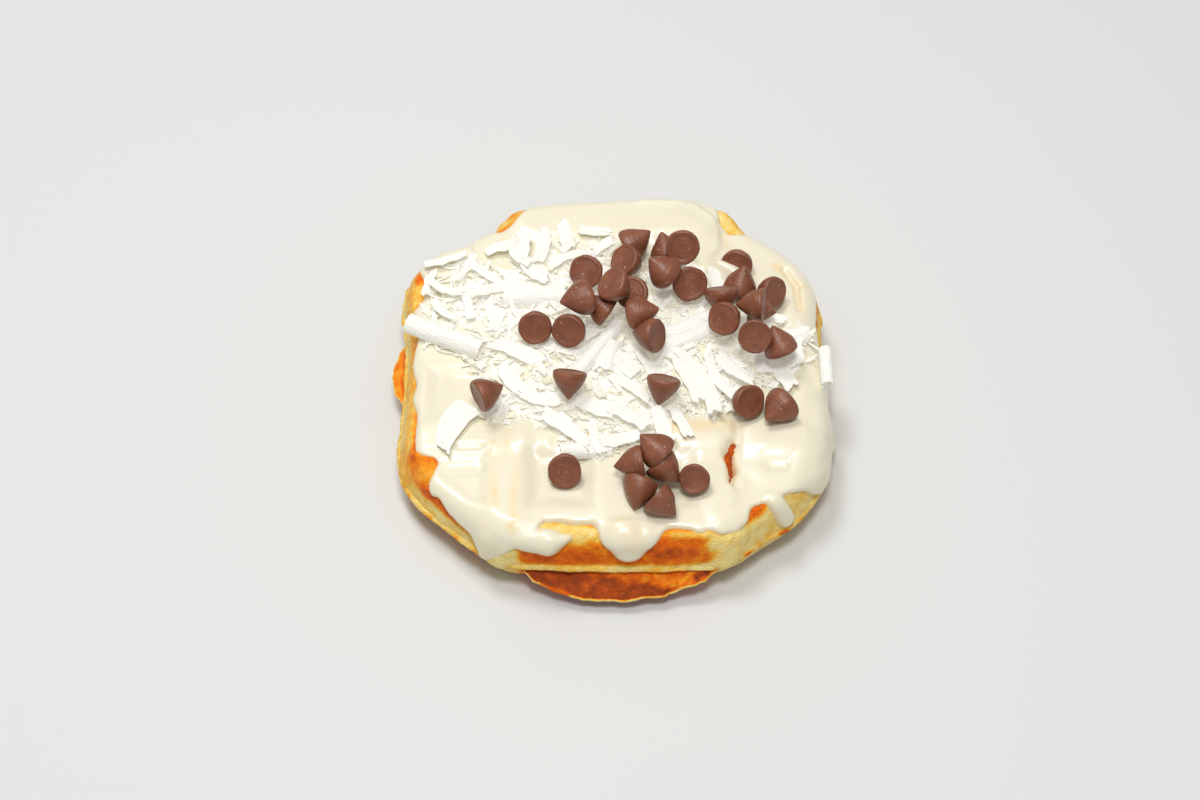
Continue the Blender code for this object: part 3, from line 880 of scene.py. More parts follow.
    def fin(self) -> bpy.types.Object:
        """Build the thin wavy edge squeezed out at the parting line.

        Returns:
            The edge, with its browning mask.
        """
        edge = self.ring(self.fin_spokes)
        normals = inward(edge)
        rings: list[Ring] = [[] for _ in range(6)]
        bakes: list[list[float]] = [[] for _ in range(6)]
        for p, n in zip(edge, normals):
            wave = wobble(p.x, p.y, 3.0, 8.0)
            fine = wobble(p.x, p.y, 8.0, 2.0)
            angle = bearing(p.x, p.y, self.hub)
            out = max(0.15, 0.65 + 0.6 * wave + 0.35 * fine)
            z = self.parting - 0.3 + 0.5 * wobble(p.x, p.y, 20.0, 14.0) + 0.3 * fine
            pale = 0.14 + 0.12 * wobble(p.x, p.y, 0.0, 5.0)
            scorched = 0.0
            if -152.0 < angle < -122.0 or -66.0 < angle < -38.0:
                scorched = 0.75 * ease(-0.25, 0.45, wobble(p.x, p.y, 11.0, 3.0))
            tip_bake = max(pale, scorched)
            half = 0.4 - 0.4 * out
            stations = ((1.4, 1.5, pale), (half, 0.75, pale), (-out, 0.25, tip_bake),
                        (-out, -0.25, tip_bake), (half, -0.6, pale), (1.4, -1.2, pale))
            for ring, bake_and_shade, (inset, up, value) in zip(rings, bakes, stations):
                ring.append(Vector((*(p + n * inset), z + up)))
                bake_and_shade.append(value)
        bm = skin_rings(rings + [rings[0]], closed_ends=False,
                        marks={"bake_and_shade": bakes + [bakes[0]]})
        bmesh.ops.remove_doubles(bm, verts=bm.verts, dist=0.0005)
        bmesh.ops.recalc_face_normals(bm, faces=bm.faces)
        return new_object("waffle_fin", bm)

    def brown_and_shade_at(self, place: Vector, up: float) -> float:
        """Work out how brown the crust is at a point, with its painted shade.

        Args:
            place: The point.
            up: How level its face is, from 0 to 1.

        Returns:
            The browning and painted shade, from 0 to 1.
        """
        x, y, z = place
        angle = bearing(x, y, self.hub)
        span = along_table(self.pale_span, angle)
        rise = ease(span, span * 2.0 + 0.08, abs(z - self.parting) / self.parting)
        side = 0.08 + rise * (along_table(self.side_bake, angle) - 0.08)
        depth = min(z, self.height - z)
        pressed = 0.46 + 0.16 * ease(8.5, 3.0, depth)
        bake_and_shade = side + (pressed - side) * ease(0.6, 0.92, up)
        bake_and_shade += 0.08 * wobble(x, y, z, 7.0) + 0.04 * wobble(x, y, z, 2.0)
        for blob in self.browning_and_shade:
            bake_and_shade += (blob.strength - bake_and_shade) * ease(-0.6, 1.8, blob.depth(place))
        return min(1.0, max(0.0, bake_and_shade))

    def build(self, material: bpy.types.Material) -> None:
        """Model, roughen and dress the waffle.

        Args:
            material: The crust.
        """
        body = self.body()
        carve(body, self.teeth(Face.TOP), Carve.AWAY)
        carve(body, self.teeth(Face.BASE), Carve.AWAY)
        remesh = body.modifiers.new("remesh", 'REMESH')
        remesh.mode = 'VOXEL'
        remesh.voxel_size = self.voxel
        settle_modifiers(body)
        bm = bmesh.new()
        bm.from_mesh(body.data)
        for _ in range(self.smoothing):
            bmesh.ops.smooth_vert(bm, verts=bm.verts, factor=0.5,
                                  use_axis_x=True, use_axis_y=True, use_axis_z=True)
        bm.normal_update()
        for vert in bm.verts:
            x, y, z = vert.co
            flat = ease(0.9, 0.2, z)
            lump = sum(high * wobble(x, y, z, wide) for high, wide in self.lumps)
            for blob in self.bumps:
                rise = ease(-1.0, 3.5, blob.depth(vert.co))
                lump += blob.strength * rise + 0.35 * rise * wobble(x, y, z, 1.9)
            vert.co += vert.normal * lump * (1.0 - flat)
            vert.co.z = max(vert.co.z, 0.0)
        bm.to_mesh(body.data)
        bm.free()
        add_mask(body, "bake_and_shade", [self.brown_and_shade_at(v.co, abs(v.normal.z)) for v in body.data.vertices])
        finish_piece(body, material, ("waffle",))
        finish_piece(self.fin(), material)


@dataclass
class Lip:
    """A thin lip of batter pressed out past the side.

    Rows of dark_from are shares along the lip and out to where its outer browning begins.
    """

    name: str
    points: tuple[Spot, ...]
    root: tuple[Spot, Spot]
    droop: float
    inner_bake: float
    outer_bake: float
    dark_from: tuple[Spot, ...] = ((0.0, 0.2), (1.0, 0.2))
    spots: tuple[Blob, ...] = ()
    parting: float = 10.5
    fold: float = 0.0
    stations: int = 110
    shares: tuple[float, ...] = (
        0.0, 0.2, 0.34, 0.46, 0.56, 0.65, 0.73, 0.8, 0.86, 0.91, 0.95, 0.98, 1.0)

    def build(self, material: bpy.types.Material) -> None:
        """Loft the lip from its root line to its wavy edge.

        Args:
            material: The crust.
        """
        total = len(self.points) - 1
        rings: list[Ring] = []
        bakes: list[list[float]] = []
        for i in range(self.stations + 1):
            t = i / self.stations
            k = min(int(t * total), total - 1)
            part = t * total - k
            edge = Vector(self.points[k]).lerp(Vector(self.points[k + 1]), part)
            back = Vector(self.root[0]).lerp(Vector(self.root[1]), t)
            full = math.sin(math.pi * (t * 0.94 + 0.03)) ** 0.6
            out = (edge - back).normalized()
            edge = edge + out * (0.45 * wobble(edge.x, edge.y, 5.0, 4.0)
                                 + 0.3 * wobble(edge.x, edge.y, 9.0, 1.4))
            tip_z = self.parting - self.droop * full + 0.4 * wobble(edge.x, edge.y, 1.0, 6.0)
            border = along_table(self.dark_from, t)
            fray = 0.012 * wobble(edge.x, 0.0, 3.0, 1.5)
            upper, lower, browns = [], [], []
            for share in self.shares:
                spot = back.lerp(edge, share)
                sag = tip_z + (self.parting - 0.6 - tip_z) * (1.0 - share) ** 0.9
                thick = 0.3 + 1.5 * (1.0 - share) * full
                bumpy = (0.22 * wobble(spot.x, spot.y, 2.0, 3.0)
                         + 0.08 * wobble(spot.x, spot.y, 4.0, 1.0))
                swell = 0.5 * full * math.sin(math.pi * share)
                edge_on = border + 0.03 * wobble(spot.x, spot.y, 7.0, 4.0)
                sag -= self.fold * full * ease(edge_on - 0.05, edge_on + 0.06, share)
                upper.append(Vector((*spot, sag + thick * 0.6 + bumpy + swell)))
                lower.append(Vector((*spot, sag - thick * 0.5)))
                browns.append(self.brown_and_shade_at(spot, share, edge_on, full, fray))
            rings.append(upper + list(reversed(lower)))
            bakes.append(browns + list(reversed(browns)))
        thing = new_object(self.name, skin_rings(rings, marks={"bake_and_shade": bakes}))
        finish_piece(thing, material)

    def brown_and_shade_at(self, spot: Vector, share: float, border: float, full: float,
                 fray: float) -> float:
        """Work out how brown the lip is at a point, with its painted shade.

        Args:
            spot: The point, seen from above.
            share: How far out it lies, from 0 at the root to 1.
            border: Share where the outer browning begins.
            full: How fully the lip stands out here, from 0 to 1.
            fray: Shift of the pale rim.

        Returns:
            The browning and painted shade, from 0 to 1.
        """
        bake_and_shade = self.inner_bake
        bake_and_shade += (self.outer_bake - bake_and_shade) * ease(border - 0.04, border + 0.06, share)
        bake_and_shade += 0.10 * wobble(spot.x * 0.5, spot.y, 3.0, 2.0)
        crest = max(0.0, 1.0 - abs(share - border + 0.05) / 0.045) * min(1.0, self.fold)
        bake_and_shade += (0.34 - bake_and_shade) * 0.7 * crest * full
        bake_and_shade += (0.12 - bake_and_shade) * ease(0.955, 0.985, share + fray)
        # Some spots are painted shade in a crease or fold; the rest are browning.
        for patch in self.spots:
            inside = patch.depth(Vector((spot.x, spot.y, 0.0)))
            bake_and_shade += (patch.strength - bake_and_shade) * ease(-0.4, 0.8, inside)
        return min(1.0, max(0.0, bake_and_shade))


LIPS: tuple[Lip, ...] = (
    Lip("front_lip",
        points=((-23.5, -58.2), (-21.0, -60.4), (-15.5, -62.2), (-11.0, -63.9), (-5.0, -64.6),
                (4.0, -64.9), (12.0, -63.8), (20.0, -61.8), (25.0, -60.4), (28.5, -58.0)),
        root=((-21.0, -54.0), (26.0, -54.0)), droop=5.8, inner_bake=0.56, outer_bake=0.86,
        dark_from=((0.0, 0.9), (0.05, 0.5), (0.12, 0.42), (0.44, 0.44), (0.58, 0.64),
                   (0.72, 0.86), (0.8, 1.1), (1.0, 1.1)),
        # The second stroke is painted shade in the fold at the right end; the others are browning.
        spots=strokes((-19.0, -61.5, -12.0, -63.2, 1.0, 1.0, 0.6),
                      (23.0, -59.6, 26.0, -58.4, 1.0, 0.8, 0.95),
                      (18.5, -60.6, 22.5, -58.0, 0.5, 0.5, 0.3)),
        fold=0.8),
    Lip("left_lip",
        points=((-58.4, 18.0), (-60.6, 15.5), (-61.8, 11.0), (-62.2, 6.5), (-61.2, 1.0),
                (-58.6, -4.0)),
        root=((-54.0, 16.0), (-54.0, -3.0)), droop=2.2, inner_bake=0.36, outer_bake=0.42,
        # This dark stroke is painted shade in the crease where the side meets the lip.
        spots=strokes((-58.6, 14.0, -58.4, 0.0, 0.7, 0.7, 0.75))),
)


# Sauce


@dataclass
class Sauce:
    """The white sauce over the top and down the sides.

    Rows of reach are bearing and walk over the top edge, rows of side are distance in and
    height, and rows of pools are x, y and depth.
    """

    base: float = 21.0
    skin: float = 1.45
    step: float = 1.2
    bead: float = 1.9
    crack: float = 3.0
    edge_wave: float = 0.35
    thinnest: float = 0.45
    spokes: int = 620
    rings_across: int = 54
    shelf: float = 8.0
    run_step: float = 0.5
    round_over: tuple[float, ...] = (-2.6, -1.3, 0.0, 1.3, 2.6)
    lowest: float = 13.0
    inner_wall: Spot = (6.5, 9.0)
    pole: Spot = (0.0, 2.0)
    reach: tuple[Spot, ...] = (
        (-180, 2.0), (-173, 0.2), (-168, 0.9), (-163.4, -1.2), (-159.5, -1.3), (-154, -0.5),
        (-151, -0.2), (-149.4, -1.2), (-147.5, -2.8), (-145.4, -4.2), (-144, -4.2), (-142.8, -1.8),
        (-141.6, -0.2), (-140.6, 3.0), (-139, 4.3), (-137, 3.1), (-134.6, 4.0), (-132.8, 5.5),
        (-130, 6.1), (-127, 6.7), (-125.2, 7.4), (-124, 10.0), (-122, 11.4), (-118.5, 11.2),
        (-117, 9.4), (-115, 6.4), (-112.2, 3.8), (-109.6, 3.2), (-108.4, -3.4), (-104, -3.7),
        (-99.7, -3.0), (-96.5, -3.2), (-94.4, -3.3), (-93.6, -0.9), (-92.8, 2.0), (-90.9, 4.2),
        (-88.0, 5.3), (-84.9, 5.7), (-82.0, 5.3), (-79.6, 3.5), (-77.7, 0.9), (-76.7, -0.6),
        (-75.2, -1.4), (-73.3, -1.4), (-70, -0.8), (-68.6, 0.1), (-65.4, -0.2), (-61.6, 1.6),
        (-59.2, 2.2), (-56, 1.9), (-53.9, 1.0), (-53, -0.8), (-51.2, -1.4), (-49.5, -0.2),
        (-47.6, -0.4), (-45.4, -0.5), (-43, 0.6), (-41.4, 1.3), (-37.6, 4.0), (-35.3, 8.8),
        (-33, 11.4), (-20, 12.0), (0, 10.0), (7, 6.0), (12, 4.8), (20, 3.6), (27, 3.4), (32, 3.0),
        (40, 3.0), (49, 2.4), (50.6, -0.5), (52.5, -3.5), (57, -4.2), (59.5, -1.2), (62, 0.8),
        (64.7, 2.4), (72, 4.4), (90, 5.0), (108, 3.4), (111, 0.8), (114, -0.9), (119, -1.7),
        (124.5, -2.0), (128, 0.6), (142, 1.5), (149, 0.0), (153, -3.4), (158, -3.2), (160.5, -1.4),
        (162.5, 1.6), (166, 1.4), (171, 0.0), (174.6, 1.0), (180, 2.0),
    )
    runs: tuple[Blob, ...] = (
        Blob((-34.0, -54.6, 17.0), (-34.5, -55.0, 13.0), 4.0, 3.2, 1.0),
        Blob((-23.0, -55.2, 19.2), (-16.8, -55.8, 18.9), 3.3, 3.8, 1.0),
        Blob((-16.8, -55.8, 18.9), (-11.4, -55.0, 20.2), 3.8, 1.2, 1.0),
        Blob((1.8, -54.0, 20.5), (8.0, -54.0, 20.5), 4.4, 4.4, 0.9),
        Blob((3.4, -55.0, 19.4), (4.6, -56.4, 17.9), 4.8, 4.7, 1.0),
        Blob((43.0, -42.6, 21.0), (47.4, -44.9, 13.8), 2.6, 2.7, 0.8),
        Blob((55.0, -34.0, 17.0), (57.0, -30.0, 14.0), 4.0, 4.0, 0.9),
        Blob((58.0, -16.0, 17.0), (59.5, -16.0, 12.0), 6.0, 5.0, 0.7),
        Blob((58.0, -4.0, 17.0), (59.0, 0.0, 13.5), 5.0, 4.0, 0.7),
    )
    bites: tuple[Blob, ...] = (
        Blob((33.2, -25.6, 21.0), (31.9, -29.8, 21.0), 0.5, 1.0),
        Blob((31.9, -29.8, 21.0), (32.8, -34.0, 21.0), 1.0, 0.9),
        Blob((32.8, -34.0, 21.0), (32.2, -38.0, 21.0), 0.9, 0.4),
    )
    swells: tuple[Blob, ...] = strokes(
        (20.0, -22.0, 29.0, -22.0, 5.5, 5.5, 1.1), (20.0, -24.0, 27.0, -26.0, 6.0, 5.0, 0.5),
        (28.0, -38.0, 30.0, -48.0, 5.0, 5.0, 0.5), (-28.0, -28.0, -28.5, -50.0, 6.5, 6.5, 0.5),
        (0.0, -30.0, 2.0, -50.0, 6.5, 7.0, 0.55), (-50.0, -23.0, -8.0, -23.5, 6.0, 6.5, 0.35),
        (-24.5, -21.0, -23.5, -25.0, 3.6, 3.0, 0.8), (-17.0, -24.0, -17.5, -27.0, 3.4, 2.6, 0.7),
        (-12.0, -24.5, -9.0, -27.0, 3.0, 3.0, 0.5), (-20.0, 55.0, 24.0, 56.0, 10.0, 11.0, 1.2),
        (20.0, 48.0, 32.0, 36.0, 8.0, 7.0, 0.9), (45.0, -20.0, 49.0, 10.0, 10.0, 10.0, 0.6),
        (44.0, -32.0, 50.0, -26.0, 8.0, 8.0, 0.5), (-50.0, -4.0, -50.0, -20.0, 6.0, 5.0, 0.4),
        (56.2, 31.0, 57.0, 16.0, 2.4, 2.2, 1.3), (46.0, 31.0, 50.5, 20.0, 3.0, 3.0, 0.7),
        (31.0, 35.0, 38.0, 30.6, 2.8, 2.8, 2.6), (10.0, 61.0, 20.0, 61.0, 3.0, 3.0, 0.7),
    )
    hollows: tuple[Blob, ...] = strokes(
        (-44.0, -34.6, -35.5, -33.8, 1.5, 1.5, 0.9), (-41.5, -27.0, -35.5, -26.8, 1.1, 1.1, 0.7),
        (43.0, -33.4, 47.0, -33.2, 1.4, 1.4, 0.8), (34.6, -18.0, 33.6, -40.0, 1.2, 1.0, 1.1),
        (50.0, 35.5, 53.2, 29.0, 1.0, 1.0, 1.9), (53.2, 29.0, 53.4, 21.0, 1.0, 0.8, 1.7),
    )
    pools: tuple[Triple, ...] = (
        (-42.0, -37.0, 0.8), (-14.0, -37.0, 1.6), (14.0, -37.0, 1.3), (42.0, -37.0, 0.8),
        (-42.0, -9.0, 1.2), (42.0, -9.0, 0.5), (42.0, 19.0, 0.4),
    )
    sheets: tuple[Blob, ...] = strokes(
        (-26.0, 46.0, 18.5, 46.5, 14.0, 13.5), (16.0, 30.0, 31.5, 24.0, 12.0, 11.5),
    )
    thin_lines: tuple[Blob, ...] = strokes(
        (-32.0, -26.0, -31.4, -46.0, 1.1, 1.7, 0.85), (-25.6, -30.0, -26.2, -52.0, 1.1, 1.7, 0.9),
        (-34.4, -43.6, -33.6, -44.2, 0.9, 0.9, 1.0), (-28.0, -22.0, -28.0, -30.0, 2.2, 2.6, 0.4),
        (17.0, -21.0, 33.0, -20.0, 2.8, 2.8, 0.55), (47.5, 36.8, 53.2, 29.0, 1.6, 2.0, 0.95),
        (53.2, 29.0, 54.0, 20.5, 1.8, 1.2, 0.9), (33.0, 54.0, 33.4, 44.0, 1.6, 1.6, 0.55),
        (2.0, -52.0, 7.0, -54.0, 2.6, 2.6, 0.4), (-5.0, -23.0, -2.0, -26.0, 2.4, 2.2, 0.8),
        (-57.0, -8.0, -56.5, -24.0, 2.4, 2.4, 0.7),
    )
    side: tuple[Spot, ...] = (
        (4.0, 21.0), (1.8, 17.5), (0.4, 11.4), (-0.2, 10.5), (0.4, 9.6), (1.8, 3.5), (4.0, 0.0),
    )

    def walk(self, run: float) -> Vector:
        """Walk over the top edge and down the side.

        Args:
            run: Length of the walk in mm, negative before the edge.

        Returns:
            Distance in from the parting edge, and height.
        """
        if run <= 0.0:
            return Vector((self.side[0][0] - run, self.side[0][1]))
        for first, second in zip(self.side, self.side[1:]):
            a, b = Vector(first), Vector(second)
            length = (b - a).length
            if run <= length:
                return a.lerp(b, run / length)
            run -= length
        return Vector(self.side[-1])

    def inside(self, place: Vector, run: float, reach: float) -> float:
        """Measure how far a point of the crust lies inside the edge of the sauce.

        Args:
            place: The point.
            run: Its walk over the top edge.
            reach: Walk at which the sauce ends here.

        Returns:
            The distance in mm, which is negative outside.
        """
        depth = reach - run
        depth += self.edge_wave * wobble(place.x, place.y, place.z, 3.2)
        if run > -14.0:
            for blob in self.runs:
                depth = blend_max(depth, blob.depth(place), 0.9)
        for blob in self.bites:
            depth = -blend_max(-depth, blob.depth(place), 1.0)
        return depth

    def fullness(self, place: Vector, run: float) -> float:
        """Work out the thickness of the sauce, away from its edge.

        Args:
            place: The point of the crust.
            run: Its walk over the top edge.

        Returns:
            The thickness, which is negative in the deepest pools.
        """
        flat = Vector((place.x, place.y, 0.0))
        amount = self.skin + 0.16 * wobble(place.x, place.y, place.z, 13.0)
        amount += 0.07 * wobble(place.x, place.y, place.z, 5.0)
        if run > -12.0:
            for blob in self.runs:
                amount += blob.strength * 0.8 * ease(-0.5, 3.0, blob.depth(place))
        over_top = ease(0.5, -3.5, run)
        for blob in self.swells:
            amount += blob.strength * over_top * ease(-1.5, 3.5, blob.depth(flat))
        sheet = max(blob.depth(flat) for blob in self.sheets)
        sheet += 0.5 * wobble(place.x, place.y, 4.0, 4.0)
        amount += self.step * ease(1.5, -2.0, run) * ease(-0.7, 0.9, sheet)
        for blob in self.hollows:
            soft = min(5.0, blob.first)
            amount -= blob.strength * over_top * ease(-0.5 * soft, soft, blob.depth(flat))
        room = 0.0
        for x, y, strength in self.pools:
            off = max(abs(place.x - x), abs(place.y - y) * 0.96)
            off += 0.8 * wobble(place.x, place.y, 2.0, 7.0)
            amount -= strength * over_top * ease(10.5, 5.0, off)
            if strength > 1.0:
                room = max(room, ease(9.6, 8.0, off))
        return max(amount, self.thinnest - 1.6 * room)

    def wet(self, place: Vector, up: Vector, run: float,
            reach: float) -> tuple[Vector, float, float]:
        """Lift a point of the crust to the surface of the sauce.

        Args:
            place: The point.
            up: Its normal.
            run: Its walk over the top edge.
            reach: Walk at which the sauce ends here.

        Returns:
            The lifted point, with its marks of thinness and depth.
        """
        depth = self.inside(place, run, reach)
        if depth <= 0.0:
            bitten = max(blob.depth(place) for blob in self.bites)
            lift = max(depth * 1.4, -1.2) - self.crack * ease(-0.4, 0.8, bitten)
        else:
            round_off = math.sqrt(1.0 - (1.0 - min(depth, self.bead) / self.bead) ** 2)
            lift = self.fullness(place, run) * round_off
        flat = Vector((place.x, place.y, 0.0))
        thin = 0.8 * ease(1.3, 0.2, depth)
        for blob in self.thin_lines:
            thin = max(thin, blob.strength * ease(-1.0, 2.2, blob.depth(flat)))
        return place + up * lift, thin, ease(20.5, 12.0, place.z)

    def lay(self, edge: Ring) -> tuple[list[Ring], Marks]:
        """Lay out every ring of the sauce from its middle to its inside.

        Args:
            edge: Parting edge of the waffle, seen from above.

        Returns:
            The rings, and the thin and deep marks of their points.
        """
        normals = inward(edge)
        reaches = [soft_table(self.reach, bearing(p.x, p.y, self.pole), 0.7) for p in edge]
        pole = Vector(self.pole)
        turns = [p + n * self.side[0][0] for p, n in zip(edge, normals)]
        inner = [p + (pole - p).normalized() * self.shelf for p in turns]
        rows: list[list[tuple[Vector, float, float]]] = []
        for step in range(self.rings_across):
            share = 0.02 + 0.98 * step / (self.rings_across - 1)
            row = []
            for p, reach in zip(inner, reaches):
                base = Vector((*pole.lerp(p, share), self.base))
                run = -self.shelf - (1.0 - share) * (p - pole).length
                row.append(self.wet(base, Vector((0.0, 0.0, 1.0)), run, reach))
            rows.append(row)
        run = -self.shelf + self.run_step
        while run <= self.lowest:
            along = self.walk(run + 2.4) - self.walk(run - 2.4)
            tilt = Vector((along.y, -along.x)).normalized()
            steps = self.round_over if run < 8.0 else (0.0,)
            spots = [(self.walk(run + step), -(run + step)) for step in steps]
            row = []
            for p, n, turn, reach in zip(edge, normals, turns, reaches):
                inland = (pole - turn).normalized()
                base = Vector((0.0, 0.0, 0.0))
                for spot, back in spots:
                    flat = turn + inland * back if back > 0.0 else p + n * spot.x
                    base += Vector((*flat, spot.y)) / len(spots)
                row.append(self.wet(base, Vector((*(n * tilt.x), tilt.y)), run, reach))
            rows.append(row)
            run += self.run_step
        depth, level = self.inner_wall
        rows.append([(Vector((*(p + n * depth), level)), 0.0, 1.0)
                     for p, n in zip(edge, normals)])
        rings = [[point for point, _, _ in row] for row in rows]
        return rings, {"thin": [[thin for _, thin, _ in row] for row in rows],
                       "deep": [[deep for _, _, deep in row] for row in rows]}

    def build(self, waffle: Waffle, material: bpy.types.Material) -> None:
        """Model the sauce, mark where it is thin and dress it.

        Args:
            waffle: What it lies on.
            material: The sauce's finish.
        """
        edge = closed_curve(waffle.edge, self.spokes)
        rings, marks = self.lay(edge)
        thing = new_object("ivory_sauce", skin_rings(rings, marks=marks))
        finish_piece(thing, material, ("white_sauce",))


# Shavings


@dataclass(frozen=True)
class Roll:
    """A large shaving at a listed place: middle, size, heading, tilt and turns."""

    x: float
    y: float
    z: float
    length: float
    radius: float
    heading: float
    tilt: float
    turns: float


@dataclass(frozen=True)
class Leaf:
    """A flat shaving at a listed place."""

    x: float
    y: float
    length: float
    width: float
    heading: float
    z: float = 26.3
    tilt: float = 0.0
    bank: float = 0.0
    curl: float = 9.0


@dataclass(frozen=True)
class Strew:
    """How one kind of small shaving is strewn: number, ranges of size, faces and rim in mm."""

    cut: Cut
    count: int
    length: Spot
    width: Spot
    curl: Spot
    steps: tuple[int, int]
    ragged: float


